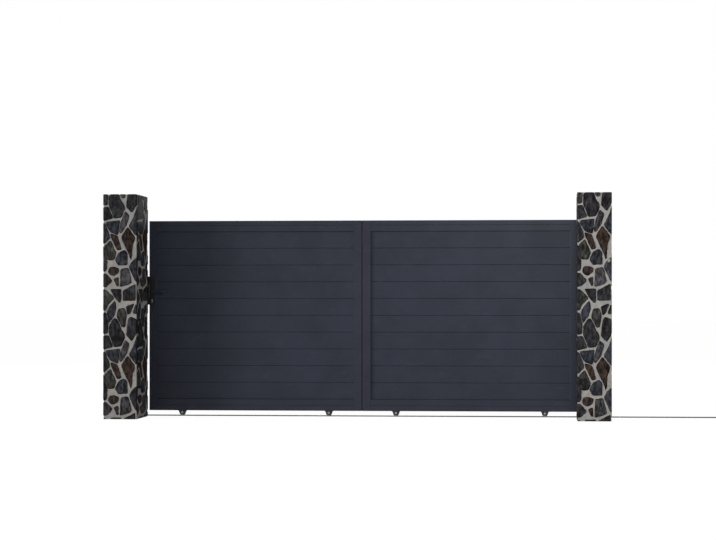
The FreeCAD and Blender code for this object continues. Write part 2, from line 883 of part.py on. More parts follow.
def make_lock_plate(label, side):
    """A long narrow plate with rounded corners, cut for the spindle and the cylinder."""
    half_width = cell("plate_width") / 2
    half_height = cell("plate_height") / 2
    thick = cell("plate_thickness")
    face = leaf_front if side < 0 else leaf_back
    body = new_body(label + "_blank")
    sketch = new_sketch(body, "XZ_Plane", label + "_outline")
    draw_outline(sketch, rectangle(-half_width, -half_height, half_width, half_height))
    slab = pad(body, sketch, thick, label + "_slab", reverse=side > 0)

    def is_corner(edge):
        return is_straight_along(edge, V(0, 1, 0))

    dress_edges(body, slab, "Fillet", cell("plate_corner"), is_corner, label + "_corners")
    centre = cell("lever_height") + cell("plate_rise")
    place(body, lock_x, face, centre)
    y0 = face - thick * 2
    y1 = face + thick * 2
    half_hole = cell("spindle_hole") / 2
    spindle_way = box(label + "_spindle_way", lock_x - half_hole, y0,
                      cell("lever_height") - half_hole, lock_x + half_hole, y1,
                      cell("lever_height") + half_hole)
    cylinder_way = euro_profile(label + "_cylinder_way", y0, y1, cell("cylinder_play"))
    plate = cut(label + "_bored", body, fuse(label + "_ways", [spindle_way, cylinder_way]))
    return keep(plate, label)


def make_lever(label, side):
    """A round lever: a neck straight out of the plate, mitred into a bar along the leaf."""
    face = leaf_front if side < 0 else leaf_back
    radius = cell("lever_radius")
    neck_start = cell("plate_thickness") + cell("lever_gap")
    out = cell("lever_projection") + cell("plate_thickness")
    body = new_body(label + "_bar")
    neck = new_sketch(body, "XZ_Plane", label + "_neck_section", neck_start * -side)
    draw_circle(neck, 0, 0, radius)
    pad(body, neck, out + radius - neck_start, label + "_neck", reverse=side > 0)
    grip = new_sketch(body, "YZ_Plane", label + "_grip_section", -radius)
    draw_circle(grip, out * side, 0, radius)
    bar = pad(body, grip, cell("lever_reach") + radius, label + "_grip")
    corner = new_sketch(body, "XY_Plane", label + "_mitre")
    draw_outline(corner, [
        (-radius - margin, (out - radius) * side), (-radius, (out - radius) * side),
        (radius, (out + radius) * side), (radius, (out + radius + margin) * side),
        (-radius - margin, (out + radius + margin) * side),
    ])
    pocket(body, corner, radius * 2 + margin * 2, label + "_corner", midplane=True)
    tip = (cell("lever_reach")).value

    def is_tip(edge):
        return all(abs(vertex.Point.x - tip) < 1e-6 for vertex in edge.Vertexes)

    dress_edges(body, body.Tip, "Chamfer", cell("lever_edge"), is_tip, label + "_tip")
    place(body, lock_x, face, cell("lever_height"))
    half_socket = cell("spindle_width") / 2 + cell("spindle_play")
    near = face + neck_start * side
    if side < 0:
        near = near - cell("spindle_socket")
    socket = box(label + "_socket", lock_x - half_socket, near, cell("lever_height") - half_socket,
                 lock_x + half_socket, near + cell("spindle_socket"),
                 cell("lever_height") + half_socket)
    return keep(cut(label, body, socket), label)


make_lock_plate("outer_lock_plate", -1)
make_lock_plate("inner_lock_plate", 1)
make_lever("outer_lever", -1)
make_lever("inner_lever", 1)

half_spindle = cell("spindle_width") / 2
spindle_end = (cell("plate_thickness") + cell("lever_gap") + cell("spindle_socket")
               - cell("spindle_end_play"))
spindle = box("spindle", lock_x - half_spindle, leaf_front - spindle_end,
              cell("lever_height") - half_spindle, lock_x + half_spindle,
              leaf_back + spindle_end, cell("lever_height") + half_spindle)
keep(spindle, "lever_spindle")

cylinder_end = cell("plate_thickness") + cell("cylinder_rise")
keep(euro_profile("lock_cylinder", leaf_front - cylinder_end, leaf_back + cylinder_end, 0),
     "lock_cylinder")

half_face = cell("faceplate_width") / 2
face_blank = box("face_blank", leaf_left, leaf_middle - half_face, faceplate_bottom,
                 leaf_left + wall, leaf_middle + half_face, faceplate_top)
bolt_way = box("bolt_way", leaf_left - margin, leaf_middle - cell("bolt_slot_width") / 2,
               keeper_centre - cell("bolt_slot_height") / 2,
               leaf_left + wall + margin, leaf_middle + cell("bolt_slot_width") / 2,
               keeper_centre + cell("bolt_slot_height") / 2)
keep(cut("face", face_blank, bolt_way), "lock_faceplate")


# Top guide on the right pillar

guide_start = inner_right + cell("guide_inset")
arm_bottom = leaf_top + cell("guide_rise")
arm_top = arm_bottom + cell("guide_arm")
roller_offset = cell("leaf_depth") / 2 + cell("roller_radius") + cell("roller_gap")
roller_top = leaf_top - cell("roller_top_drop")
roller_bottom = roller_top - cell("roller_height")
roller_x = guide_start + cell("guide_length") / 2
roller_places = [(roller_x, leaf_middle + roller_offset * side) for side in (-1, 1)]


def make_guide_bracket():
    """A back plate on the pillar and an arm over the leaf, stiffened by two ribs."""
    plate = cell("guide_plate")
    arm_end = leaf_back + cell("guide_overhang")
    body = new_body("guide_plate_and_arm")
    sketch = new_sketch(body, "YZ_Plane", "guide_section")
    draw_outline(sketch, [
        (pillar_back, arm_bottom), (arm_end, arm_bottom), (arm_end, arm_top),
        (pillar_back + plate, arm_top),
        (pillar_back + plate, arm_bottom + cell("guide_back_height")),
        (pillar_back, arm_bottom + cell("guide_back_height")),
    ])
    pad(body, sketch, cell("guide_length"), "guide_angle")
    rib = new_sketch(body, "YZ_Plane", "guide_rib_section")
    rib_height = cell("guide_rib_height")
    draw_outline(rib, [
        (pillar_back + plate, arm_top), (pillar_back + plate + rib_height, arm_top),
        (pillar_back + plate, arm_top + rib_height),
    ])
    first_rib = pad(body, rib, cell("guide_rib"), "guide_rib")
    repeat(body, first_rib, "X_Axis", cell("guide_length") - cell("guide_rib"), 2, "guide_ribs")
    place(body, guide_start, 0, 0)
    drills = []
    for x_pin, y_pin in roller_places:
        drill = doc.addObject("Part::Cylinder", "guide_drill_%d" % (len(drills) + 1))
        bind(drill, "Radius", cell("pin_radius") + cell("running_play"))
        bind(drill, "Height", cell("guide_arm") * 3)
        drills.append(place(drill, x_pin, y_pin, arm_bottom - cell("guide_arm")))
    keep(cut("guide", body, fuse("guide_drills", drills)), "guide_bracket")


def make_guide_rollers():
    """A nylon roller on each side of the leaf, hung on a bolt through the arm."""
    shank = cell("pin_radius")
    head_top = roller_bottom - cell("pin_end_play")
    rollers = []
    pins = []
    for x_pin, y_pin in roller_places:
        number = len(pins) + 1
        body = new_body("roller_%d" % number)
        ring = new_sketch(body, "XY_Plane", "roller_%d_section" % number)
        draw_circle(ring, 0, 0, cell("roller_radius"))
        draw_circle(ring, 0, 0, shank + cell("running_play"))
        pad(body, ring, cell("roller_height"), "roller_%d_height" % number)
        rollers.append(place(body, x_pin, y_pin, roller_bottom))
        pieces = []
        for role, z_low, z_high in (
                ("head", head_top - cell("pin_head_height"), head_top),
                ("nut", arm_top, arm_top + cell("pin_nut_height"))):
            piece = doc.addObject("Part::Prism", "pin_%d_%s" % (number, role))
            piece.Polygon = 6
            bind(piece, "Circumradius", cell("pin_head_radius"))
            bind(piece, "Height", z_high - z_low)
            pieces.append(place(piece, x_pin, y_pin, z_low))
        rod = doc.addObject("Part::Cylinder", "pin_%d_shank" % number)
        bind(rod, "Radius", shank)
        bind(rod, "Height", arm_top - head_top)
        pieces.append(place(rod, x_pin, y_pin, head_top))
        pins.append(fuse("pin_%d" % number, pieces))
    keep(group("rollers", rollers), "guide_rollers")
    keep(group("pins", pins), "guide_pins")


make_guide_bracket()
make_guide_rollers()


# Check every object, then write each sub-part

doc.recompute()
for thing in doc.Objects:
    if "Invalid" in thing.State or "Error" in thing.State:
        raise RuntimeError("%s failed: %s" % (thing.Name, thing.State))
os.makedirs("parts", exist_ok=True)
total_volume = 0
for thing in subparts:
    shape = thing.Shape
    if shape.isNull() or not shape.isValid() or not shape.Solids:
        raise RuntimeError(thing.Label + " has no valid solid")
    shape.exportStep("parts/%s.step" % thing.Label)
    total_volume += shape.Volume
    bounds = shape.BoundBox
    print("%-26s %2d solids  x %8.1f %8.1f  y %7.1f %7.1f  z %7.1f %7.1f  %9.1f cm3" % (
        thing.Label, len(shape.Solids), bounds.XMin, bounds.XMax, bounds.YMin, bounds.YMax,
        bounds.ZMin, bounds.ZMax, shape.Volume / 1000))
print(len(subparts), "sub-parts,", round(total_volume / 1e9, 4), "m3")
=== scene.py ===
"""Dresses a slatted sliding driveway gate: finishes, stone cladding, fixings and the studio."""

import math
import random

import bmesh
import bpy
from mathutils import Matrix, Vector, noise


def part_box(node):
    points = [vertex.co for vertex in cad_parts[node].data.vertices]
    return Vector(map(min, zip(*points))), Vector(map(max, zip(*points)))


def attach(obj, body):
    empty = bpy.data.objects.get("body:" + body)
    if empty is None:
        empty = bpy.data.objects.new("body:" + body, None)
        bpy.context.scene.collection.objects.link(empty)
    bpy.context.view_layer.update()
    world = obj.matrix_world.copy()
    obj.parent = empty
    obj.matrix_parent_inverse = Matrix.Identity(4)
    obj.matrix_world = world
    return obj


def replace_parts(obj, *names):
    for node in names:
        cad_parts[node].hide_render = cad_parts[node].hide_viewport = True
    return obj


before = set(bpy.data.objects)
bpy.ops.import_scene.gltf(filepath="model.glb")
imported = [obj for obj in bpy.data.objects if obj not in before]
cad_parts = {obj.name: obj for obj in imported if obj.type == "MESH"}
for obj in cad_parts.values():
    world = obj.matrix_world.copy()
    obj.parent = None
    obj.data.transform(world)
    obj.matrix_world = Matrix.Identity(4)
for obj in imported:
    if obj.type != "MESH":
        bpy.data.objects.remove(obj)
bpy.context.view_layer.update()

bl_info = {
    "name": "Sliding Driveway Gate",
    "version": (1, 0, 0),
    "blender": (4, 5, 0),
    "location": "View3D > Sidebar > Gate",
    "description": "Finishes, stone cladding, small fixings and studio for a sliding gate",
    "category": "Object",
}

FIXED = "posts_and_rail"
LEAF = "leaf"
LEVER = "lever"

PILLARS = {"left_pillar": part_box("left_pillar"), "right_pillar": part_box("right_pillar")}
WHEELS = ("wheel_1", "wheel_2", "wheel_3", "wheel_4")

WHITE = (1, 1, 1, 1)
UP = Vector((0, 0, 1))

# Slabs of one course, read on a pillar's face: 454 steps are its width, and the course
# repeats down the pillar. Steps run right from the left edge and down from the pillar's top.
COURSE_STEPS = 1715
FACE_STEPS = 454
SLABS = (
    ("charcoal", ((0, -134), (34, -140), (70, 20), (62, 142), (0, 152))),
    ("charcoal", ((140, -58), (174, -64), (222, 20), (240, 88), (288, 150), (294, 198),
                  (246, 312), (146, 326), (78, 148), (82, 36))),
    ("charcoal", ((338, -50), (368, -84), (454, -42), (454, 142), (386, 248), (312, 168),
                  (324, 50))),
    ("charcoal", ((0, 174), (72, 168), (132, 322), (0, 358))),
    ("blue", ((36, 370), (228, 348), (214, 448), (198, 548), (96, 506), (46, 420))),
    ("mauve", ((296, 226), (354, 282), (316, 418), (236, 530), (214, 492), (236, 384),
               (266, 302))),
    ("blue", ((454, 180), (454, 560), (438, 552), (346, 428), (416, 300))),
    ("rust", ((330, 438), (430, 572), (424, 622), (398, 674), (384, 850), (374, 884),
              (342, 782), (316, 740), (246, 582), (250, 562))),
    ("rust", ((98, 524), (194, 556), (234, 690), (244, 740), (190, 752), (106, 574))),
    ("charcoal", ((0, 384), (22, 384), (80, 524), (92, 590), (26, 650), (0, 668))),
    ("slate", ((34, 676), (100, 614), (178, 790), (146, 880), (56, 882), (30, 800), (18, 700))),
    ("blue", ((206, 782), (286, 742), (326, 784), (330, 944), (206, 952), (160, 882))),
    ("charcoal", ((0, 690), (16, 698), (32, 812), (56, 902), (50, 1002), (30, 1034), (0, 1040))),
    ("umber", ((86, 974), (150, 968), (216, 994), (208, 1046), (146, 1092), (96, 1082),
               (64, 1036))),
    ("mauve", ((238, 998), (330, 982), (350, 1012), (386, 1178), (330, 1210), (226, 1238))),
    ("blue", ((386, 902), (454, 842), (454, 1176), (434, 1158), (348, 978))),
    ("charcoal", ((0, 1058), (38, 1058), (122, 1148), (110, 1178), (46, 1232), (0, 1242))),
    ("umber", ((140, 1132), (206, 1102), (208, 1228), (184, 1230))),
    ("slate", ((0, 1268), (30, 1272), (130, 1358), (150, 1392), (70, 1468), (30, 1552),
               (0, 1554))),
    ("charcoal", ((96, 1268), (244, 1264), (246, 1422), (230, 1458), (160, 1386))),
    ("charcoal", ((264, 1288), (436, 1198), (436, 1418), (264, 1422))),
    ("blue", ((96, 1486), (160, 1418), (180, 1512), (150, 1622), (74, 1716), (48, 1572))),
    ("slate", ((208, 1530), (286, 1518), (320, 1608), (296, 1766), (256, 1776), (182, 1630))),
    ("charcoal", ((308, 1498), (420, 1456), (370, 1592), (330, 1612))),
    ("charcoal", ((440, 1470), (454, 1466), (454, 1600), (396, 1592))),
)

# Slabs on a pillar's flat top, in the same steps from its left front corner.
TOP_SLABS = (
    ("charcoal", ((30, 30), (190, 30), (170, 150), (30, 196))),
    ("blue", ((212, 30), (424, 30), (424, 130), (300, 190), (192, 150))),
    ("charcoal", ((30, 220), (170, 174), (250, 290), (130, 424), (30, 424))),
    ("umber", ((194, 174), (300, 214), (424, 154), (424, 300), (276, 286))),
    ("slate", ((270, 306), (424, 322), (424, 424), (156, 424))),
)


def colour_setting(name, description, default):
    """A colour to choose."""
    return bpy.props.FloatVectorProperty(name=name, description=description, default=default,
                                         subtype="COLOR", min=0, max=1)


def length_setting(name, description, default, low, high):
    """A length to choose, in metres."""
    return bpy.props.FloatProperty(name=name, description=description, default=default,
                                   min=low, max=high, unit="LENGTH")


def strength_setting(name, description, default, low=0, **limits):
    """A strength to choose, from nothing up or from a lowest value."""
    return bpy.props.FloatProperty(name=name, description=description, default=default,
                                   min=low, **limits)


class StoneSettings(bpy.types.PropertyGroup):
    """Sizes and colours of the pillars' cladding."""

    slab_thickness: length_setting(
        "Slab thickness", "From a slab's face to its bed in the mortar", 0.014, 0.009, 0.02)
    mortar_recess: length_setting(
        "Mortar recess", "How far the mortar stands behind the slabs' faces",
        0.004, 0.001, 0.008)
    slab_edge: length_setting(
        "Slab edge", "Width of the worn edge round each slab", 0.003, 0.0005, 0.006)
    charcoal: colour_setting(
        "Charcoal slabs", "Main colour of the charcoal slabs", (0.018, 0.018, 0.019))
    blue: colour_setting(
        "Blue slabs", "Main colour of the blue-grey slabs", (0.021, 0.0235, 0.0275))
    slate: colour_setting(
        "Slate slabs", "Main colour of the green-grey slabs", (0.026, 0.027, 0.026))
    mauve: colour_setting(
        "Mauve slabs", "Main colour of the mauve-grey slabs", (0.038, 0.036, 0.042))
    rust: colour_setting(
        "Rust slabs", "Main colour of the rust-brown slabs", (0.026, 0.0165, 0.0125))
    umber: colour_setting(
        "Umber slabs", "Main colour of the dark red-brown slabs", (0.020, 0.015, 0.014))
    mortar: colour_setting(
        "Mortar", "Main colour of the mortar between the slabs", (0.336, 0.336, 0.333))


class CoatSettings(bpy.types.PropertyGroup):
    """Colours of the coated and plated parts."""

    anthracite: colour_setting(
        "Anthracite", "Powder coat of the leaf's frames and slats", (0.0255, 0.029, 0.043))
    black: colour_setting(
        "Black", "Powder coat of the lock plates, levers and keeper", (0.0125, 0.0125, 0.0135))
    zinc: colour_setting(
        "Zinc", "Hot-dip coating of the rail, the bolts and the guide", (0.30, 0.31, 0.32))
    nickel: colour_setting(
        "Nickel", "Plating of the lock cylinder and faceplate", (0.45, 0.44, 0.415))
    coat_roughness: strength_setting(
        "Coat roughness", "Roughness of the leaf's fine matt coat", 0.46, low=0.1, max=1,
        subtype="FACTOR")


class FixingSettings(bpy.types.PropertyGroup):
    """Sizes of the screws, and the places that repeat."""

    rail_screw_pitch: length_setting(
        "Rail screw pitch", "Distance between the screws along the rail", 0.3, 0.1, 1)
    rail_screw_offset: length_setting(
        "Rail screw offset", "From the rail's bead to the line of screws", 0.0148, 0.01, 0.018)
    plate_screw_inset: length_setting(
        "Plate screw inset", "From a lock plate's end to its screw", 0.014, 0.006, 0.04)
    bolt_size: length_setting(
        "Bolt size", "Half the distance across the wall bolts' corners", 0.0092, 0.004, 0.012)


class StageSettings(bpy.types.PropertyGroup):
    """Camera, lamps and floor."""

    camera_place: bpy.props.FloatVectorProperty(
        name="Camera place", description="Where the camera stands",
        default=(3.9138, -10.7646, 1.0504), subtype="TRANSLATION", unit="LENGTH")
    camera_turn: bpy.props.FloatProperty(
        name="Camera turn", description="How far the camera turns to the left",
        default=math.radians(2.6), subtype="ANGLE")
    camera_shift: bpy.props.FloatVectorProperty(
        name="Camera shift", description="How far the lens shifts, in widths of the frame",
        default=(-0.1933, 0.0474), size=2)
    camera_lens: bpy.props.FloatProperty(
        name="Lens", description="Focal length on a 36 mm wide sensor",
        default=59.52, min=10, max=200, unit="CAMERA")
    key_strength: strength_setting(
        "Key light", "Strength of the low soft light from the left", 3.25, max=20)
    front_power: strength_setting(
        "Front lamp", "Power of the soft lamp above the camera", 113, unit="POWER")
    back_power: strength_setting(
        "Back lamp", "Power of the soft lamp behind the gate", 420, unit="POWER")
    sky: strength_setting(
        "Sky light", "Strength of the even light from all round", 0.17, max=2,
        subtype="FACTOR")
    floor: colour_setting("Floor", "Colour of the floor", (0.86, 0.86, 0.86))
    floor_white: strength_setting(
        "Floor white", "Strength of the white that is seen on the floor", 1.12, max=2)
    floor_share: strength_setting(
        "Floor share", "Share of that white; the rest keeps the gate's shadow", 0.85,
        max=1, subtype="FACTOR")


class Signal:
    """One output of a shader node, so that masks and mixes read as plain arithmetic."""

    def __init__(self, nodes, socket):
        self.nodes = nodes
        self.socket = socket

    def beside(self, output):
        """Another output of the same node."""
        return Signal(self.nodes, self.socket.node.outputs[output])

    def _worked(self, operation, first, second):
        return self.nodes.node("Math", {"operation": operation}, {0: first, 1: second})

    def __add__(self, other):
        return self._worked("ADD", self, other)

    def __radd__(self, other):
        return self._worked("ADD", other, self)

    def __sub__(self, other):
        return self._worked("SUBTRACT", self, other)

    def __rsub__(self, other):
        return self._worked("SUBTRACT", other, self)

    def __mul__(self, other):
        return self._worked("MULTIPLY", self, other)

    def __rmul__(self, other):
        return self._worked("MULTIPLY", other, self)


class Nodes:
    """A node tree in the making."""

    def __init__(self, tree):
        self.tree = tree

    def node(self, kind, settings=None, sockets=None, output=0):
        """Add a node, set its settings, then feed its sockets, and give back one output."""
        made = self.tree.nodes.new("ShaderNode" + kind)
        for name, value in (settings or {}).items():
            setattr(made, name, value)
        for name, value in (sockets or {}).items():
            if isinstance(value, Signal):
                self.tree.links.new(value.socket, made.inputs[name])
            else:
                made.inputs[name].default_value = value
        return Signal(self, made.outputs[output]) if made.outputs else None

    def seen(self):
        """1 where the camera looks, also by way of metal or glass, and 0 elsewhere."""
        camera = self.node("LightPath", output="Is Camera Ray")
        highest = {"operation": "MAXIMUM"}
        either = self.node("Math", highest, {0: camera, 1: camera.beside("Is Glossy Ray")})
        return self.node("Math", highest, {0: either, 1: camera.beside("Is Transmission Ray")})


class Finish(Nodes):
    """A material in the making: its nodes, its shader and the ways to feed it."""

    # Mix keeps one set of sockets for each kind of value; these are the ones for colours.
    MIX_FIRST = 6
    MIX_SECOND = 7
    MIX_RESULT = 2

    def __init__(self, name, metallic=0.0, specular=0.5):
        self.material = bpy.data.materials.new(name)
        self.material.use_nodes = True
        super().__init__(self.material.node_tree)
        self.shader = self.tree.nodes["Principled BSDF"]
        self.shader.inputs["Metallic"].default_value = metallic
        self.shader.inputs["Specular IOR Level"].default_value = specular
        self.place = self.node("TexCoord", output="Object")

    def made(self, colour, roughness, normal, metallic=None):
        """Feed the shader and give back the material."""
        for socket, signal in (("Base Color", colour), ("Roughness", roughness),
                               ("Normal", normal), ("Metallic", metallic)):
            if signal:
                self.tree.links.new(signal.socket, self.shader.inputs[socket])
        return self.material

    def stretched(self, scale, place=None):
        """The place on the object, in metres, scaled along x, y and z."""
        return self.node("VectorMath", {"operation": "MULTIPLY"},
                         {0: place or self.place, 1: scale})

    def noise(self, scale, detail=3.0, roughness=0.55, place=None):
        """Grey noise with so many features a metre."""
        return self.node("TexNoise", {}, {
            "Vector": place or self.place, "Scale": scale, "Detail": detail,
            "Roughness": roughness})

    def cells(self, scale, output="Distance", place=None):
        """Cell pattern: distance from each cell's middle, or its own colour."""
        return self.node("TexVoronoi", {}, {"Vector": place or self.place, "Scale": scale},
                         output=output)

    def mask(self, signal, low, high):
        """0 below low, 1 above high, smooth between."""
        return self.node("MapRange", {"interpolation_type": "SMOOTHSTEP"},
                         {0: signal, 1: low, 2: high})

    def mix(self, factor, first, second):
        """One colour over into another."""
        first, second = (value if isinstance(value, Signal) else (*value, 1.0)
                         for value in (first, second))
        return self.node("Mix", {"data_type": "RGBA"},
                         {0: factor, self.MIX_FIRST: first, self.MIX_SECOND: second},
                         output=self.MIX_RESULT)

    def shaded(self, colour, value):
        """A colour made lighter or darker."""
        return self.node("HueSaturation", {}, {"Color": colour, "Value": value})

    def relief(self, height, distance, strength=1.0, after=None):
        """Bumps of so many metres, on top of other bumps if given."""
        sockets = {"Height": height, "Distance": distance, "Strength": strength}
        if after:
            sockets["Normal"] = after
        return self.node("Bump", {}, sockets)


def scaled(colour, factor):
    """A colour times a number."""
    return tuple(min(1.0, part * factor) for part in colour)


def powder_coat(name, colour, roughness, specular):
    """Fine matt powder coat: orange peel, a painted sheen in broad clouds of lighter and darker
    colour, and a breath of dust.
    """
    finish = Finish(name, specular=specular)
    clouds = finish.mask(finish.noise(3.1, 4.0, 0.6), 0.3, 0.7)
    rubbed = finish.mask(finish.noise(17, 5.0, 0.65, finish.stretched((0.35, 1, 1))), 0.56, 0.8)
    grain = finish.noise(1500, 2.0)
    # Painted sheen: broad clouds run the coat's colour from 0.9 to 1.12 of itself, standing for
    # uneven gloss.
    sheen_clouded = finish.mix(clouds, scaled(colour, 0.9), scaled(colour, 1.12))
    peel = finish.relief(finish.noise(420, 2.0), 0.00012, 0.5)
    return finish.made(finish.mix(rubbed * 0.16, sheen_clouded, (0.088, 0.092, 0.1)),
                       roughness + (grain - 0.5) * 0.14 + rubbed * 0.12,
                       finish.relief(grain, 0.00005, 0.5, after=peel))


def zinc_coat(name, colour, roughness=0.42):
    """Hot-dip zinc: dull crystals a few millimetres wide, grey bloom and light scuffs."""
    finish = Finish(name, metallic=1.0)
    flake = finish.node("SeparateColor", {}, {0: finish.cells(170, "Color")})
    bloom = finish.mask(finish.noise(23, 5.0, 0.6), 0.42, 0.72)
    scuff = finish.mask(finish.noise(60, 4.0, 0.7, finish.stretched((0.08, 1, 1))), 0.6, 0.75)
    body = finish.mix(flake * 0.8, scaled(colour, 0.72), scaled(colour, 1.2))
    pale = finish.mix(bloom * 0.5, body, scaled(colour, 0.9))
    return finish.made(finish.mix(scuff * 0.5, pale, scaled(colour, 1.7)),
                       roughness + bloom * 0.2 - scuff * 0.12 + (flake - 0.5) * 0.1,
                       finish.relief(flake, 0.00006, 0.4), metallic=1.0 - bloom * 0.35)


def turned_steel(name, colour):
    """Turned steel with rings round the wheel's own axis."""
    finish = Finish(name, metallic=1.0)
    reach = finish.node("VectorMath", {"operation": "LENGTH"},
                        {0: finish.stretched((1, 0, 1))}, output="Value")
    across = finish.node("SeparateXYZ", {}, {0: finish.place}, output="Y")
    rings = finish.node("TexNoise", {"noise_dimensions": "1D"},
                        {"W": reach * 2600 + across * 2600, "Scale": 1.0, "Detail": 3.0})
    dull = finish.mask(finish.noise(70, 4.0), 0.45, 0.7)
    return finish.made(finish.mix(dull * 0.6, scaled(colour, 1.5), scaled(colour, 0.7)),
                       0.3 + rings * 0.12 + dull * 0.16, finish.relief(rings, 0.00006, 0.5))


def brushed_metal(name, colour, along=(1, 1, 0.03), roughness=0.26):
    """Plated metal brushed along one way, with faint wipe marks."""
    finish = Finish(name, metallic=1.0)
    lines = finish.noise(1900, 3.0, 0.7, finish.stretched(along))
    wipes = finish.noise(38, 4.0)
    return finish.made(finish.mix(wipes, scaled(colour, 0.86), scaled(colour, 1.08)),
                       roughness + lines * 0.12 + wipes * 0.08,
                       finish.relief(lines, 0.00003, 0.5))


def moulded(name, colour, roughness, grain, dusty):
    """Moulded plastic, nylon or rubber: eroded skin, sink clouds and dust."""
    finish = Finish(name, specular=0.35)
    skin = finish.noise(grain, 2.0, 0.5)
    dust = finish.mask(finish.noise(120, 5.0, 0.65), 0.5, 0.75)
    body = finish.mix(finish.noise(30, 4.0), scaled(colour, 0.8), scaled(colour, 1.25))
    return finish.made(finish.mix(dust * dusty, body, (0.12, 0.122, 0.125)),
                       roughness + dust * 0.12 + (skin - 0.5) * 0.1,
                       finish.relief(skin, 0.00009, 0.6))


def painted_shade_inside(name):
    """Painted shade: a near-black finish that stands for the unlit inside of a socket or a
    keyway.
    """
    return moulded(name, (0.004, 0.004, 0.004), 0.7, 900, 0.0)


def split_stone(name, colour, stain):
    """Split stone slab: a rim of painted shade, cleft streaks, mineral clouds, pale flecks and
    pits dark with painted shade.
    """
    finish = Finish(name, specular=0.06)
    tone = finish.node("Attribute", {"attribute_name": "slab_tone"}, output="Fac")
    rim = finish.node("Attribute", {"attribute_name": "slab_rim"}, output="Fac")
    moved = finish.node("CombineXYZ", {}, {0: tone * 9.0, 1: tone * 5.0, 2: tone * 13.0})
    place = finish.node("VectorMath", {"operation": "ADD"}, {0: finish.place, 1: moved})
    streaks = finish.noise(46, 5.0, 0.62, finish.stretched((1, 1, 0.4), place))
    layers = finish.noise(15, 4.0, 0.55, finish.stretched((1, 1, 0.6), place))
    clouds = finish.mask(finish.noise(24, 4.0, 0.6, place), 0.42, 0.68)
    grain = finish.noise(230, 5.0, 0.7, place)
    flecks = finish.mask(finish.cells(210, place=place), 0.22, 0.06)
    bare = finish.mask(layers + (grain - 0.5) * 0.5, 0.5, 0.66)
    pits = finish.mask(finish.noise(95, 3.0, 0.6, place), 0.38, 0.28)
    body = finish.mix(clouds * 0.7, colour, stain)
    light = finish.mix(bare * 0.45, body, scaled(colour, 2.6))
    flecked = finish.mix(flecks * 0.25, light, (0.2, 0.2, 0.195))
    # Painted shade: the pits, which the bump sinks, darken to a quarter of the slab's colour.
    pit_shaded = finish.mix(pits * 0.7, flecked, scaled(colour, 0.25))
    spread = finish.mask(streaks, 0.38, 0.66)
    value = 0.12 + tone * 0.5 + spread * 1.62 + (grain - 0.5) * 1.2
    # Painted shade: each slab's sides, worn edge and the outer part of its face darken by up to
    # 62 %, where the slab meets the mortar.
    edge = finish.mask(rim + (grain - 0.5) * 0.5, 0.3, 0.95)
    cleft = finish.relief(layers + streaks * 0.5, 0.006, 0.7)
    return finish.made(finish.shaded(pit_shaded, value * (1.0 - edge * 0.62)),
                       0.64 + (grain - 0.5) * 0.3 + pits * 0.15,
                       finish.relief(grain - pits * 0.5, 0.0016, 0.8, after=cleft))


def sandy_mortar(name, colour):
    """Pointed mortar: sand grains, tool marks, damp and iron-brown patches."""
    finish = Finish(name, specular=0.12)
    patches = finish.mask(finish.noise(7, 4.0, 0.6), 0.35, 0.65)
    damp = finish.mask(finish.noise(19, 5.0, 0.65), 0.5, 0.72)
    grain = finish.noise(330, 4.0, 0.7)
    warm = (colour[0] * 1.12, colour[1] * 1.04, colour[2] * 0.92)
    body = finish.mix(patches, scaled(colour, 0.86), warm)
    stained = finish.mix(damp * 0.45, body, (0.21, 0.19, 0.16))
    trowel = finish.relief(finish.noise(70, 4.0, 0.6), 0.004, 0.7)
    return finish.made(finish.shaded(stained, 0.8 + grain * 0.4), 0.84 + (grain - 0.5) * 0.2,
                       finish.relief(finish.cells(620) + grain, 0.0008, 0.7, after=trowel))


def coat_nodes(finish, *names):
    """Give a finish to nodes of the frame."""
    for name in names:
        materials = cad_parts[name].data.materials
        materials.clear()
        materials.append(finish)


def ease_edges(width, *names):
    """Round the sharp edges of nodes a little, as a coating or a file leaves them."""
    for name in names:
        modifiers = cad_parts[name].modifiers
        modifiers.new("joined_faces", "WELD").merge_threshold = 0.00001
        bevel = modifiers.new("eased_edges", "BEVEL")
        bevel.width = width
        bevel.segments = 2
        bevel.limit_method = "ANGLE"
        bevel.angle_limit = math.radians(40)
        bevel.harden_normals = True


def added(name, data, place):
    """A new object in the scene."""
    made = bpy.data.objects.new(name, data)
    made.location = place
    bpy.context.scene.collection.objects.link(made)
    return made


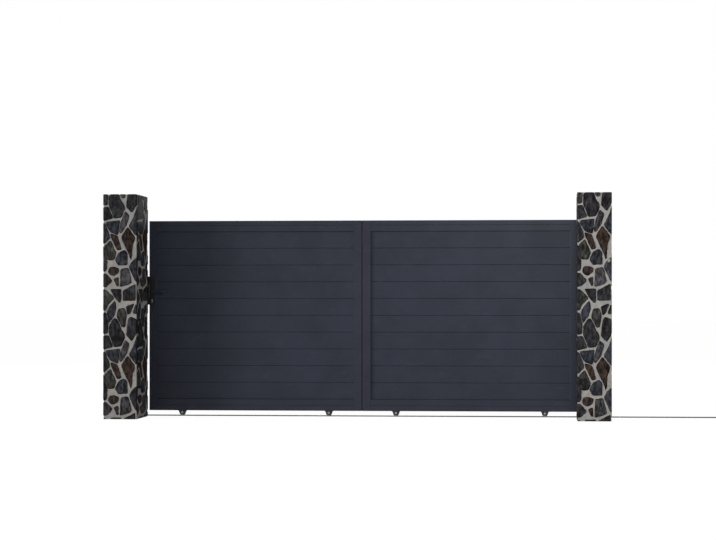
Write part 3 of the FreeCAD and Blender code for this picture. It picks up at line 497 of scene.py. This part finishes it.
class Shell:
    """Gathers the points and faces of one piece from rings of points."""

    def __init__(self):
        self.points = []
        self.faces = []
        self.marks = []
        self.tones = []
        self.rim_shades = []

    def add_rings(self, rings, mark=0, tone=0.0, rim_shades=None):
        """Join rings of equal length with quads and close both ends."""
        first = len(self.points)
        count = len(rings[0])
        rim_shades = rim_shades or [0.0] * len(rings)
        for ring, rim in zip(rings, rim_shades):
            self.points.extend(ring)
            self.tones.extend([tone] * count)
            self.rim_shades.extend([rim] * count)
        before = len(self.faces)
        for row in range(len(rings) - 1):
            here = first + row * count
            for step in range(count):
                following = (step + 1) % count
                self.faces.append((here + step, here + following,
                                   here + count + following, here + count + step))
        last = first + (len(rings) - 1) * count
        for start, ring in ((first, rings[0]), (last, rings[-1])):
            centre = len(self.points)
            self.points.append(sum(ring, Vector()) / count)
            self.tones.append(tone)
            self.rim_shades.append(rim_shades[-1])
            for step in range(count):
                self.faces.append((start + step, start + (step + 1) % count, centre))
        self.marks.extend([mark] * (len(self.faces) - before))

    def add_turned(self, profile, place, steps=48, mark=0):
        """Turn a profile of (radius, height) round the z axis of a placing matrix.

        Either may be a function of the angle.
        """
        rings = []
        for radius, height in profile:
            ring = []
            for step in range(steps):
                angle = math.tau * step / steps
                reach = radius(angle) if callable(radius) else radius
                rise = height(angle) if callable(height) else height
                ring.append(place @ Vector((math.cos(angle) * reach,
                                            math.sin(angle) * reach, rise)))
            rings.append(ring)
        self.add_rings(rings, mark)

    def piece(self, name, finishes, body, slot, origin=Vector(), crease=35):
        """Make the object, give it its finishes and let it ride on a body of the frame."""
        mesh = bpy.data.meshes.new(name)
        mesh.from_pydata([point - origin for point in self.points], [], self.faces)
        for finish in finishes:
            mesh.materials.append(finish)
        mesh.polygons.foreach_set("material_index", self.marks)
        for layer_name, values in (("slab_tone", self.tones), ("slab_rim", self.rim_shades)):
            layer = mesh.attributes.new(layer_name, "FLOAT", "POINT")
            layer.data.foreach_set("value", values)
        work = bmesh.new()
        work.from_mesh(mesh)
        bmesh.ops.remove_doubles(work, verts=work.verts, dist=1e-6)
        bmesh.ops.recalc_face_normals(work, faces=work.faces)
        work.to_mesh(mesh)
        work.free()
        mesh.polygons.foreach_set("use_smooth", [True] * len(mesh.polygons))
        mesh.set_sharp_from_angle(angle=math.radians(crease))
        made = added(name, mesh, origin)
        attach(made, body)
        return made


def fitted(name, tool, places, sizes, finishes, body, slot, **how):
    """One piece of like fixings, one at each place."""
    shell = Shell()
    for place in places:
        tool(shell, place, *sizes)
    return shell.piece(name, finishes, body, slot, **how)


def hexagon(half):
    """Radius of a hexagon at each angle; half is from its middle to a corner."""
    flat = half * math.cos(math.radians(30))

    def reach(angle):
        return flat / math.cos((angle % math.radians(60)) - math.radians(30))

    return reach


def bevelled(half, height, down):
    """Height of a hexagon's bevelled rim at each angle, below or above a height."""
    reach = hexagon(half)

    def rim(angle):
        return height - down * (reach(angle) - half * 0.85) * 0.5

    return rim


def standing(x, y, z, facing):
    """Placing matrix at a point, its z axis along the way that a face looks."""
    turn = Vector(facing).to_track_quat("Z", "Y").to_matrix().to_4x4()
    return Matrix.Translation((x, y, z)) @ turn


def button_screw(shell, place, radius, height):
    """Button-head screw with a hexagon socket."""
    socket = hexagon(radius * 0.5)
    shell.add_turned((
        (radius, -0.0004), (radius, height * 0.25), (radius * 0.93, height * 0.6),
        (radius * 0.76, height * 0.88), (radius * 0.56, height), (socket, height * 0.97),
        (socket, height * 0.25), (radius * 0.08, height * 0.12)), place, steps=24)


def wall_bolt(shell, place, half):
    """Hexagon bolt on a flat washer."""
    washer = half * 1.35
    top = 0.0072
    head = hexagon(half)
    shell.add_turned(((washer, -0.0004), (washer, 0.0014), (washer - 0.0004, 0.0018),
                      (half * 0.6, 0.0018)), place, steps=36)
    shell.add_turned(((head, 0.0016), (head, bevelled(half, top, 1)), (half * 0.85, top),
                      (half * 0.3, top)), place, steps=36)


def through_bolt(shell, place, length, half, head, nut, shank):
    """Hexagon bolt from its head, at the place, to its nut and the end of its thread."""
    reach = hexagon(half)
    flat = half * 0.85
    washer = half * 1.06
    thick = 0.0012
    seat = length - nut
    end = length - nut * 0.26
    thread = shank * 0.94
    chamfer = 0.0006
    shell.add_turned((
        (half * 0.3, 0.0), (flat, 0.0), (reach, bevelled(half, 0.0, -1)), (reach, head - thick),
        (washer, head - thick), (washer, head), (shank, head), (shank, seat), (washer, seat),
        (washer, seat + thick), (reach, seat + thick), (reach, bevelled(half, end, 1)),
        (flat, end), (thread, end), (thread, length - chamfer), (thread - chamfer, length)),
        place, steps=36)


def sunk_screw(shell, place, radius, proud):
    """Countersunk screw, almost flush, with a dark hexagon of painted shade for its socket as its
    second mark.
    """
    shell.add_turned(((radius, -0.0002), (radius, proud * 0.4), (radius * 0.94, proud),
                      (radius * 0.2, proud)), place, steps=24)
    # Painted shade: the second mark is a dark hexagon standing just above the head, in place of
    # the socket's hole.
    socket = hexagon(radius * 0.52)
    shell.add_turned(((socket, proud * 0.5), (socket, proud * 1.15)), place, steps=24, mark=1)


def cylinder_plug(shell, place):
    """A thin round plug with a stepped keyway, its floor dark with painted shade."""
    def keyway(size):
        def reach(angle):
            x = abs(math.cos(angle)) + 1e-6
            y = abs(math.sin(angle)) + 1e-6
            return min(0.0011 * size / y, 0.0036 * size / x)
        return reach

    shell.add_turned(((0.0066, -0.0003), (0.0066, 0.0004), (0.0063, 0.0007),
                      (keyway(1.08), 0.0007), (keyway(1.0), 0.0003)), place, steps=56)
    # Painted shade: a dark sheet on the keyway's shallow floor stands for its depth.
    shell.add_turned(((keyway(0.99), 0.0001), (keyway(0.98), 0.00032)), place, steps=56, mark=1)


def round_ring(middle, first, second, radius, count):
    """A ring of points round a middle, in the plane of two directions."""
    return [middle + (first * math.cos(math.tau * n / count)
                      + second * math.sin(math.tau * n / count)) * radius
            for n in range(count)]


def weld_bead(shell, start, end, toward, size):
    """Rippled weld along an inner corner; toward points out of the corner."""
    run = end - start
    across = run.cross(toward).normalized()
    ripple = 0.0016
    count = round(run.length / ripple)
    rings = []
    for step in range(count + 1):
        middle = start + run * (step / count)
        swell = size * (1.0 + 0.1 * math.sin(step * 2.1) + 0.08 * noise.noise(middle * 400))
        if step in (0, count):
            swell *= 0.55
        rings.append(round_ring(middle, toward, across, swell, 10))
    shell.add_rings(rings)


def clipped(outline, inside):
    """Cut an outline along a line; inside gives a point's distance on the kept side."""
    kept = []
    for number, point in enumerate(outline):
        before = outline[number - 1]
        here = inside(point)
        there = inside(before)
        if (here > 0) != (there > 0):
            kept.append(before.lerp(point, there / (there - here)))
        if here > 0:
            kept.append(point)
    return kept


def trimmed(outline, low, high):
    """Cut an outline to a rectangle."""
    for inside in (lambda p: p.x - low.x, lambda p: high.x - p.x,
                   lambda p: p.y - low.y, lambda p: high.y - p.y):
        outline = clipped(outline, inside)
        if len(outline) < 3:
            return []
    return outline


def signed_area(outline):
    """Area inside an outline, negative where it runs the other way round."""
    return sum(outline[n - 1].x * outline[n].y - outline[n].x * outline[n - 1].y
               for n in range(len(outline))) / 2


def broken_edge(outline, low, high, seed):
    """Divide an outline, wear its corners and give it a hand-split run."""
    stretch = 0.0095
    growth = 0.0019
    wander = 0.0026
    chipping = 0.0012
    fine = []
    for number, point in enumerate(outline):
        before = outline[number - 1]
        parts = max(1, round((point - before).length / stretch))
        fine.extend(before.lerp(point, part / parts) for part in range(parts))
    for _ in range(2):
        fine = [(fine[n - 1] + fine[n] * 2 + fine[(n + 1) % len(fine)]) / 4
                for n in range(len(fine))]
    side = math.copysign(growth, signed_area(fine))
    worn = []
    for number, point in enumerate(fine):
        run = (fine[(number + 1) % len(fine)] - fine[number - 1]).normalized()
        point = point + Vector((run.y, -run.x)) * side
        shift = noise.noise_vector(Vector((point.x * 55, point.y * 55, seed))).xy
        chip = noise.noise_vector(Vector((point.x * 170, point.y * 170, seed + 9))).xy
        moved = point + shift * wander + chip * chipping
        worn.append(Vector((min(max(moved.x, low.x), high.x), min(max(moved.y, low.y), high.y))))
    return worn


def add_slab(shell, outline, to_space, mark, settings, chance):
    """One slab: bed, sides, worn edge and an uneven cleft face."""
    thickness = settings.slab_thickness
    edge = settings.slab_edge
    unevenness = 0.0014
    middle = sum(outline, Vector((0, 0))) / len(outline)
    seed = chance.uniform(0, 100)
    tone = chance.random()
    sunk = chance.uniform(0.0002, 0.0016)
    tilt = Vector((chance.uniform(-1, 1), chance.uniform(-1, 1))) * 0.012
    rings = []
    for share, inset, depth in ((1, 0, thickness), (1, 0, edge), (1, edge * 0.35, edge * 0.35),
                                (1, edge, 0), (0.8, 0, 0), (0.55, 0, 0), (0.28, 0, 0)):
        ring = []
        for point in outline:
            away = point - middle
            near = middle + away * share
            if inset and away.length > inset * 1.5:
                near -= away.normalized() * inset
            relief = noise.fractal(Vector((near.x * 26, near.y * 26, seed)), 0.9, 2.1, 3)
            low = sunk + (near - middle).dot(tilt) + relief * unevenness + depth
            if depth < thickness:
                low = min(max(low, 0.0001), thickness - 0.002)
            else:
                low = thickness
            ring.append(to_space(near.x, near.y, low))
        rings.append(ring)
    # The last values set the painted shade: full on the slab's sides and edge, fading out across
    # its face.
    shell.add_rings(rings, mark, tone, (1.0, 1.0, 1.0, 0.85, 0.25, 0.0, 0.0))


def pillar_faces(low, high):
    """The four faces: side margin, course shift, mirrored, and their way into space."""
    def front(u, v, depth):
        return Vector((low.x + u, low.y + depth, high.z - v))

    def inner(u, v, depth):
        return Vector((high.x - depth, low.y + u, high.z - v))

    def back(u, v, depth):
        return Vector((high.x - u, high.y - depth, high.z - v))

    def outer(u, v, depth):
        return Vector((low.x + depth, high.y - u, high.z - v))

    return ((0.0, 0.0, False, front), (0.02, 0.0, False, inner),
            (0.0, 0.46, True, back), (0.02, 0.83, True, outer))


def lay_slabs(name, settings, kinds, seed):
    """All slabs of one pillar, on its four faces and its top."""
    low, high = PILLARS[name]
    width = high.x - low.x
    step = width / FACE_STEPS
    course = COURSE_STEPS * step
    chance = random.Random(seed)
    noise.seed_set(seed)
    rim = 0.02
    smallest = 0.0003
    shell = Shell()
    for margin, shift, mirrored, to_space in pillar_faces(low, high):
        near = Vector((margin, 0.0))
        far = Vector((width - margin, high.z - low.z))
        for turn in range(-1, 3):
            for kind, corners in SLABS:
                outline = [Vector((u * step, v * step + turn * course - shift))
                           for u, v in corners]
                if mirrored:
                    for corner in outline:
                        corner.x = width - corner.x
                outline = trimmed(outline, near, far)
                if len(outline) < 3 or abs(signed_area(outline)) < smallest:
                    continue
                outline = broken_edge(outline, near, far, chance.uniform(0, 50))
                add_slab(shell, outline, to_space, kinds.index(kind), settings, chance)

    def on_top(u, v, depth):
        return Vector((low.x + u, low.y + v, high.z - depth))

    near = Vector((rim, rim))
    far = Vector((width - rim, width - rim))
    for kind, corners in TOP_SLABS:
        outline = [Vector((u * step, v * step)) for u, v in corners]
        outline = broken_edge(outline, near, far, chance.uniform(0, 50))
        add_slab(shell, outline, on_top, kinds.index(kind), settings, chance)
    return shell


def fill_mortar(name, settings, seed):
    """The rough mortar behind one pillar's slabs, closed over its top."""
    low, high = PILLARS[name]
    middle = (low + high) / 2
    half = (high.x - low.x) / 2
    height = high.z - low.z
    sides = 28
    rows = 176
    top_rows = 15
    lumps = 0.0018
    rings = []
    for row in range(rows + top_rows):
        raised = min(row / rows, 1.0)
        share = 1.0 if row <= rows else 1.0 - (row - rows) / top_rows
        ring = []
        for point in range(sides * 4):
            side, part = divmod(point, sides)
            along = part / sides * 2 - 1
            x, y = ((along, -1), (1, along), (-along, 1), (-1, -along))[side]
            spot = Vector((x * half, y * half, raised * height))
            rough = noise.fractal(spot * 24 + Vector((seed, 0, 0)), 0.8, 2.0, 3) * lumps
            back_in = settings.mortar_recess + rough
            reach = (half - back_in) * share
            top = height - back_in * (raised ** 8)
            ring.append(Vector((middle.x + x * reach, middle.y + y * reach,
                                low.z + min(raised * height, top))))
        rings.append(ring)
    core = Shell()
    core.add_rings(rings)
    return core


class GATE_OT_set_stage(bpy.types.Operator):
    """Set the camera, the lamps, the sky and the floor"""

    bl_idname = "gate.set_stage"
    bl_label = "Set Stage"

    def execute(self, context):
        settings = context.scene.gate_stage
        lens = bpy.data.cameras.new("gate_camera")
        lens.sensor_width = 36
        lens.lens = settings.camera_lens
        lens.shift_x, lens.shift_y = settings.camera_shift
        camera = added("gate_camera", lens, settings.camera_place)
        camera.rotation_euler = (math.radians(90), 0, settings.camera_turn)
        context.scene.camera = camera
        context.scene.view_settings.view_transform = "Standard"
        self.add_light("key_light", "SUN", settings.key_strength, math.radians(24),
                       place=(-9.0, -4.0, 2.3), target=(0.155, -0.155, 1.0))
        self.add_light("front_lamp", "AREA", settings.front_power, 2.4,
                       place=(4.0, -5.6, 2.9), target=(3.4, 0.2, 0.9))
        self.add_light("back_lamp", "AREA", settings.back_power, 4.0,
                       place=(0.1, 9.0, 4.4), target=(2.2, 0.2, 0.9))
        self.make_sky(context, settings)
        self.make_floor(settings)
        return {"FINISHED"}

    def add_light(self, name, kind, strength, width, place, target):
        """One soft light: a sun with an angle, or a round lamp with a size."""
        light = bpy.data.lights.new(name, kind)
        light.energy = strength
        if kind == "SUN":
            light.angle = width
        else:
            light.shape = "DISK"
            light.size = width
        aim = Vector(target) - Vector(place)
        added(name, light, place).rotation_euler = aim.to_track_quat("-Z", "Y").to_euler()

    def make_sky(self, context, settings):
        """White where it is seen, and an even light elsewhere."""
        world = bpy.data.worlds.new("studio_sky")
        world.use_nodes = True
        context.scene.world = world
        sky = Nodes(world.node_tree)
        sky.tree.nodes.clear()
        even = sky.node("Background", {}, {"Color": WHITE, "Strength": settings.sky})
        white = sky.node("Background", {}, {"Color": WHITE, "Strength": 1.0})
        shown = sky.node("MixShader", {}, {0: sky.seen(), 1: even, 2: white})
        sky.node("OutputWorld", {}, {"Surface": shown})

    def make_floor(self, settings):
        """A pale floor that looks white and keeps the gate's shadow."""
        work = bmesh.new()
        bmesh.ops.create_grid(work, x_segments=2, y_segments=2, size=60)
        mesh = bpy.data.meshes.new("studio_floor")
        work.to_mesh(mesh)
        work.free()
        below = 0.0012
        floor = added("studio_floor", mesh, (3.8, 0, -below))
        finish = Finish("studio_floor", specular=0.0)
        finish.shader.inputs["Base Color"].default_value = (*settings.floor, 1)
        finish.shader.inputs["Roughness"].default_value = 1.0
        lit = Signal(finish, finish.shader.outputs[0])
        white = finish.node("Emission", {}, {"Color": WHITE, "Strength": settings.floor_white})
        share = finish.seen() * settings.floor_share
        shown = finish.node("MixShader", {}, {0: share, 1: lit, 2: white})
        finish.tree.links.new(shown.socket,
                              finish.tree.nodes["Material Output"].inputs["Surface"])
        mesh.materials.append(finish.material)


class GATE_OT_coat_leaf(bpy.types.Operator):
    """Powder-coat the leaf's frames and slats, and finish its plastic and nickel parts"""

    bl_idname = "gate.coat_leaf"
    bl_label = "Coat Leaf"

    def execute(self, context):
        settings = context.scene.gate_coat
        anthracite = settings.anthracite
        rough = settings.coat_roughness
        # Painted shade: the frames take the slats' anthracite at 0.95, a darker copy of the same
        # coat.
        frames = powder_coat("anthracite_coat", scaled(anthracite, 0.95), rough, 0.16)
        slats = powder_coat("anthracite_coat_slats", anthracite, rough + 0.04, 0.15)
        for side in ("left_panel", "right_panel"):
            for part in ("_left_stile", "_right_stile", "_top_rail", "_bottom_rail"):
                coat_nodes(frames, side + part)
            coat_nodes(slats, side + "_slats")
        coat_nodes(frames, "tail_bar")
        caps = moulded("moulded_caps", (0.013, 0.015, 0.021), 0.6, 900, 0.16)
        coat_nodes(caps, "stile_caps", "panel_joint_strip", "tail_cap")
        nickel = brushed_metal("satin_nickel", settings.nickel)
        coat_nodes(nickel, "lock_faceplate", "lock_cylinder")
        return {"FINISHED"}


class GATE_OT_finish_hardware(bpy.types.Operator):
    """Finish the rail, the stop, the carriers, the keeper, the lock plates and the guide"""

    bl_idname = "gate.finish_hardware"
    bl_label = "Finish Hardware"

    def execute(self, context):
        settings = context.scene.gate_coat
        colour = settings.zinc
        zinc = zinc_coat("zinc_coat", colour)
        coat_nodes(zinc, "guide_bracket", "lever_spindle")
        rail = zinc_coat("rail_zinc", scaled(colour, 0.27), 0.5)
        coat_nodes(rail, "ground_rail_1", "ground_rail_2", "ground_rail_3", "rail_stop")
        dark = powder_coat("carrier_coat", (0.016, 0.016, 0.018), 0.5, 0.25)
        coat_nodes(dark, "wheel_carriers")
        black = powder_coat("black_coat", settings.black, 0.36, 0.3)
        plates = ("keeper_bracket", "keeper_box", "outer_lock_plate", "inner_lock_plate")
        coat_nodes(black, *plates)
        rubber = moulded("black_rubber", (0.010, 0.010, 0.010), 0.78, 500, 0.35)
        buffers = ("keeper_buffers", "rail_stop_buffer")
        coat_nodes(rubber, *buffers)
        ease_edges(0.0008, *plates, *buffers, "guide_bracket", "rail_stop", "wheel_carriers",
                   "tail_bar")
        return {"FINISHED"}


class GATE_OT_clad_pillars(bpy.types.Operator):
    """Clad both pillars in split stone slabs bedded in mortar"""

    bl_idname = "gate.clad_pillars"
    bl_label = "Clad Pillars"

    def execute(self, context):
        settings = context.scene.gate_stone
        stains = {"charcoal": (0.022, 0.022, 0.027), "blue": (0.027, 0.028, 0.039),
                  "slate": (0.034, 0.036, 0.026), "mauve": (0.044, 0.046, 0.036),
                  "rust": (0.022, 0.015, 0.013), "umber": (0.030, 0.017, 0.016)}
        kinds = list(stains)
        finishes = [split_stone(kind + "_stone", getattr(settings, kind), stains[kind])
                    for kind in kinds]
        mortar = sandy_mortar("sandy_mortar", settings.mortar)
        for seed, name in enumerate(PILLARS, start=11):
            slabs = lay_slabs(name, settings, kinds, seed)
            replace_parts(slabs.piece(name + "_slabs", finishes, FIXED, "stone", crease=50), name)
            core = fill_mortar(name, settings, seed)
            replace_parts(core.piece(name + "_mortar", [mortar], FIXED, "stone", crease=60), name)
        return {"FINISHED"}


class GATE_OT_fit_levers(bpy.types.Operator):
    """Bend the two round levers of the lock"""

    bl_idname = "gate.fit_levers"
    bl_label = "Fit Levers"

    def execute(self, context):
        black = context.scene.gate_coat.black
        finishes = (powder_coat("lever_coat", black, 0.34, 0.25),
                    painted_shade_inside("lever_socket_dark"))
        for name, side in (("outer_lever", -1), ("inner_lever", 1)):
            low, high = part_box(name)
            radius = (high.z - low.z) / 2
            near, far = (high.y, low.y) if side < 0 else (low.y, high.y)
            start = Vector((low.x + radius, near, (low.z + high.z) / 2))
            shell = self.bend(start, far - side * radius, high.x, radius, side)
            lever = shell.piece(name + "_bar", finishes, LEVER, "black_alloy", crease=50)
            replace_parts(lever, name)
        return {"FINISHED"}

    def bend(self, start, far, end, radius, side):
        """One lever: collar, neck, swept bend, a grip with a rounded end, and a grub screw."""
        bend = radius * 1.25
        slim = radius * 0.985
        stations = [(start + Vector((0, side * out, 0)), Vector((0, side, 0)), radius * size)
                    for out, size in ((0, 1.14), (0.0006, 1.2), (0.0022, 1.2), (0.003, 1.12),
                                      (0.0036, 1.0), (0.012, 0.985))]
        for step in range(13):
            angle = math.radians(90) * step / 12
            spot = Vector((start.x + bend - bend * math.cos(angle),
                           far - side * bend + side * bend * math.sin(angle), start.z))
            heading = Vector((math.sin(angle), side * math.cos(angle), 0))
            stations.append((spot, heading, slim))
        for back, size in ((0.05, 1.0), (0.0095, 1.0), (0.0055, 0.93), (0.0028, 0.78),
                           (0.001, 0.52), (0.0002, 0.2)):
            stations.append((Vector((end - back, far, start.z)), Vector((1, 0, 0)),
                             radius * size))
        shell = Shell()
        shell.add_rings([round_ring(spot, UP.cross(heading), UP, size, 40)
                         for spot, heading, size in stations])
        grub = start + Vector((0, side * 0.0085, -slim))
        sunk_screw(shell, standing(*grub, (0, 0, -1)), 0.0026, 0.0003)
        return shell


class GATE_OT_fit_lock_trim(bpy.types.Operator):
    """Fit the lock plates' screws and the turning plugs of the cylinder"""

    bl_idname = "gate.fit_lock_trim"
    bl_label = "Fit Lock Trim"

    def execute(self, context):
        inset = context.scene.gate_fixings.plate_screw_inset
        coat = context.scene.gate_coat
        black = powder_coat("screw_black", coat.black, 0.34, 0.45)
        nickel = brushed_metal("plug_nickel", coat.nickel, (1, 1, 1), 0.2)
        dark = painted_shade_inside("keyway_dark")
        for name, facing in (("outer_lock_plate", -1), ("inner_lock_plate", 1)):
            low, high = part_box(name)
            face = low.y if facing < 0 else high.y
            places = [standing((low.x + high.x) / 2, face, z, (0, facing, 0))
                      for z in (low.z + inset, high.z - inset)]
            fitted(name + "_screws", button_screw, places, (0.0042, 0.0018), [black], LEAF,
                   "black_alloy")
        low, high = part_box("lock_cylinder")
        round_z = high.z - (high.x - low.x) / 2
        for side, face, facing in (("outer", low.y, -1), ("inner", high.y, 1)):
            place = standing((low.x + high.x) / 2, face, round_z, (0, facing, 0))
            fitted(side + "_cylinder_plug", cylinder_plug, [place], (), [nickel, dark], LEAF,
                   "nickel", origin=place.translation)
        return {"FINISHED"}


class GATE_OT_fit_wheels(bpy.types.Operator):
    """Turn the four grooved wheels and the guide's rollers"""

    bl_idname = "gate.fit_wheels"
    bl_label = "Fit Wheels"

    def execute(self, context):
        steel = turned_steel("turned_wheel_steel", (0.13, 0.135, 0.14))
        nylon = moulded("guide_nylon", (0.02, 0.02, 0.02), 0.5, 700, 0.2)
        for name in WHEELS:
            low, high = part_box(name)
            middle = (low + high) / 2
            profile = self.wheel_profile((high.x - low.x) / 2, (high.y - low.y) / 2)
            shell = Shell()
            shell.add_turned(profile, standing(*middle, (0, 1, 0)), 72)
            wheel = shell.piece(name + "_turned", [steel], name + "_body", "wheel_steel",
                                origin=middle, crease=40)
            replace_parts(wheel, name)
        low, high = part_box("guide_rollers")
        radius = (high.x - low.x) / 2
        profile = self.roller_profile(radius, high.z - low.z)
        shell = Shell()
        for y in (low.y + radius, high.y - radius):
            place = Matrix.Translation(((low.x + high.x) / 2, y, low.z))
            shell.add_turned(profile, place, 64)
        rollers = shell.piece("guide_rollers_turned", [nylon], FIXED, "nylon", crease=30)
        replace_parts(rollers, "guide_rollers")
        return {"FINISHED"}

    def wheel_profile(self, outer, half):
        """Half a section from hub to hub: recessed web, rim and the round groove."""
        bore = 0.0062
        round_over = 0.0006
        recess = 0.0022
        side = ((bore, half), (0.0118, half), (0.0124, half - round_over),
                (0.013, half - recess), (outer - 0.0078, half - recess),
                (outer - 0.007, half - round_over), (outer - 0.0062, half),
                (outer - 0.0008, half), (outer, half - 0.0008))
        bead = 0.0063
        centre = 0.0303
        wide = math.atan2(math.sqrt(bead ** 2 - (centre - outer) ** 2), centre - outer)
        groove = []
        for step in range(15):
            angle = wide - 2 * wide * step / 14
            groove.append((centre - bead * math.cos(angle), bead * math.sin(angle)))
        return [*side, *groove, *((radius, -height) for radius, height in reversed(side))]

    def roller_profile(self, radius, tall):
        """Half a section of a roller: bore, rounded rims and a fine groove round its middle."""
        bore = 0.0062
        groove = 0.0007
        lower = ((bore, 0.0006), (0.0085, 0.0), (radius - 0.0018, 0.0),
                 (radius - 0.0005, 0.0006), (radius, 0.002), (radius, tall * 0.5 - 0.0011),
                 (radius - groove, tall * 0.5 - 0.0005))
        return [*lower, *((reach, tall - height) for reach, height in reversed(lower))]


class GATE_OT_fit_screws(bpy.types.Operator):
    """Fit the rail's screws and the bolts of the keeper and the guide"""

    bl_idname = "gate.fit_screws"
    bl_label = "Fit Screws and Bolts"

    def execute(self, context):
        settings = context.scene.gate_fixings
        coat = context.scene.gate_coat
        zinc = zinc_coat("screw_zinc", scaled(coat.zinc, 1.3), 0.34)
        black = powder_coat("bolt_black", coat.black, 0.34, 0.4)
        inset = 0.04
        strip = 0.003
        places = []
        for number in (1, 2, 3):
            low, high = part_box("ground_rail_%d" % number)
            length = high.x - low.x - 2 * inset
            count = max(2, round(length / settings.rail_screw_pitch))
            for screw in range(count + 1):
                offset = settings.rail_screw_offset * (1 if screw % 2 else -1)
                places.append(standing(low.x + inset + length * screw / count,
                                       (low.y + high.y) / 2 + offset, strip, (0, 0, 1)))
        fitted("rail_screws", button_screw, places, (0.0042, 0.0011), [zinc], FIXED,
               "galvanised")
        plate = 0.006
        low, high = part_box("keeper_bracket")
        inset = 0.03
        places = [standing(low.x + inset, low.y + plate, low.z + (high.z - low.z) * share,
                           (0, 1, 0)) for share in (0.12, 0.5, 0.88)]
        fitted("keeper_bolts", wall_bolt, places, (settings.bolt_size,), [black], FIXED,
               "black_steel")
        low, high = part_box("guide_bracket")
        inset = 0.032
        from_top = 0.018
        from_foot = 0.042
        places = [standing(x, low.y + plate, z, (0, 1, 0))
                  for x in (low.x + inset, high.x - inset)
                  for z in (high.z - from_top, low.z + from_foot)]
        fitted("guide_bolts", wall_bolt, places, (settings.bolt_size,), [zinc], FIXED,
               "galvanised")
        return {"FINISHED"}


class GATE_OT_fit_bolts(bpy.types.Operator):
    """Fit the axle bolts, the guide's pins, the sunk screws and the welds"""

    bl_idname = "gate.fit_bolts"
    bl_label = "Fit Bolts and Welds"

    def execute(self, context):
        coat = context.scene.gate_coat
        zinc = zinc_coat("bolt_zinc", scaled(coat.zinc, 0.75), 0.38)
        nickel = brushed_metal("screw_nickel", coat.nickel, (1, 1, 1), 0.24)
        dark = painted_shade_inside("socket_dark")
        shank = 0.006
        low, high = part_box("wheel_axles")
        hubs = [sum(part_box(name), Vector()) / 2 for name in WHEELS]
        places = [standing(hub.x, low.y, hub.z, (0, 1, 0)) for hub in hubs]
        axles = fitted("axle_bolts", through_bolt, places,
                       (high.y - low.y, 0.010, 0.004, 0.004, shank), [zinc], LEAF, "galvanised")
        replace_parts(axles, "wheel_axles")
        low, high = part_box("guide_pins")
        half = (high.x - low.x) / 2
        flat = half * math.cos(math.radians(30))
        places = [Matrix.Translation((low.x + half, y, low.z))
                  for y in (low.y + flat, high.y - flat)]
        pins = fitted("guide_bolts_and_nuts", through_bolt, places,
                      (high.z - low.z, half, 0.005, 0.009, shank), [zinc], FIXED, "galvanised")
        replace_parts(pins, "guide_pins")
        low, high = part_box("lock_faceplate")
        inset = 0.009
        places = [standing(low.x, (low.y + high.y) / 2, z, (-1, 0, 0))
                  for z in (low.z + inset, high.z - inset)]
        fitted("faceplate_screws", sunk_screw, places, (0.0046, 0.00015), [nickel, dark], LEAF,
               "nickel")
        low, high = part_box("rail_stop")
        inset = 0.02
        places = [standing(x, (low.y + high.y) / 2, high.z, (0, 0, 1))
                  for x in (low.x + inset, high.x - inset)]
        fitted("rail_stop_screws", sunk_screw, places, (0.0075, 0.0005), [zinc, dark], FIXED,
               "galvanised")
        self.weld(zinc, powder_coat("weld_black", coat.black, 0.36, 0.3))
        return {"FINISHED"}

    def weld(self, zinc, black):
        """Beads inside the guide's ribs, and one between the keeper's angle and its box."""
        short = 0.004
        long = 0.072
        rib = 0.006
        shelf = 0.008
        guide_bead = 0.0026
        keeper_bead = 0.0022
        low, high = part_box("guide_bracket")
        back = low.y + rib
        arm = low.z + shelf
        beads = Shell()
        for x, side in ((low.x + rib, 1), (high.x - rib, -1)):
            weld_bead(beads, Vector((x, back, arm + short)), Vector((x, back, arm + long)),
                      Vector((side, 1, 0)).normalized(), guide_bead)
            weld_bead(beads, Vector((x, back + short, arm)), Vector((x, back + long, arm)),
                      Vector((side, 0, 1)).normalized(), guide_bead)
        beads.piece("guide_welds", [zinc], FIXED, "galvanised", crease=60)
        low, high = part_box("keeper_box")
        bead = Shell()
        weld_bead(bead, Vector((low.x, low.y, low.z + short)),
                  Vector((low.x, low.y, high.z - short)), Vector((1, -1, 0)).normalized(),
                  keeper_bead)
        bead.piece("keeper_weld", [black], FIXED, "black_steel", crease=60)


class GATE_PT_panel(bpy.types.Panel):
    """Lists the gate's settings and its steps"""

    bl_idname = "GATE_PT_panel"
    bl_label = "Sliding Gate"
    bl_space_type = "VIEW_3D"
    bl_region_type = "UI"
    bl_category = "Gate"

    def draw(self, context):
        for name in GROUPS:
            group = getattr(context.scene, name)
            box = self.layout.box()
            box.label(text=name.partition("_")[2].title())
            for setting in group.__annotations__:
                box.prop(group, setting)
        for step in STEPS:
            self.layout.operator(step.bl_idname)


GROUPS = {"gate_stone": StoneSettings, "gate_coat": CoatSettings,
          "gate_fixings": FixingSettings, "gate_stage": StageSettings}
STEPS = (GATE_OT_set_stage, GATE_OT_coat_leaf, GATE_OT_finish_hardware, GATE_OT_clad_pillars,
         GATE_OT_fit_levers, GATE_OT_fit_lock_trim, GATE_OT_fit_wheels, GATE_OT_fit_screws,
         GATE_OT_fit_bolts)


def register():
    """Add the settings, the steps and the panel."""
    for kind in (*GROUPS.values(), *STEPS, GATE_PT_panel):
        bpy.utils.register_class(kind)
    for name, group in GROUPS.items():
        setattr(bpy.types.Scene, name, bpy.props.PointerProperty(type=group))


def unregister():
    """Take away what register added."""
    for name in GROUPS:
        delattr(bpy.types.Scene, name)
    for kind in reversed((*GROUPS.values(), *STEPS, GATE_PT_panel)):
        bpy.utils.unregister_class(kind)


def main():
    """Run every step in order."""
    register()
    bpy.ops.gate.set_stage()
    bpy.ops.gate.coat_leaf()
    bpy.ops.gate.finish_hardware()
    bpy.ops.gate.clad_pillars()
    bpy.ops.gate.fit_levers()
    bpy.ops.gate.fit_lock_trim()
    bpy.ops.gate.fit_wheels()
    bpy.ops.gate.fit_screws()
    bpy.ops.gate.fit_bolts()


if __name__ == "__main__":
    main()
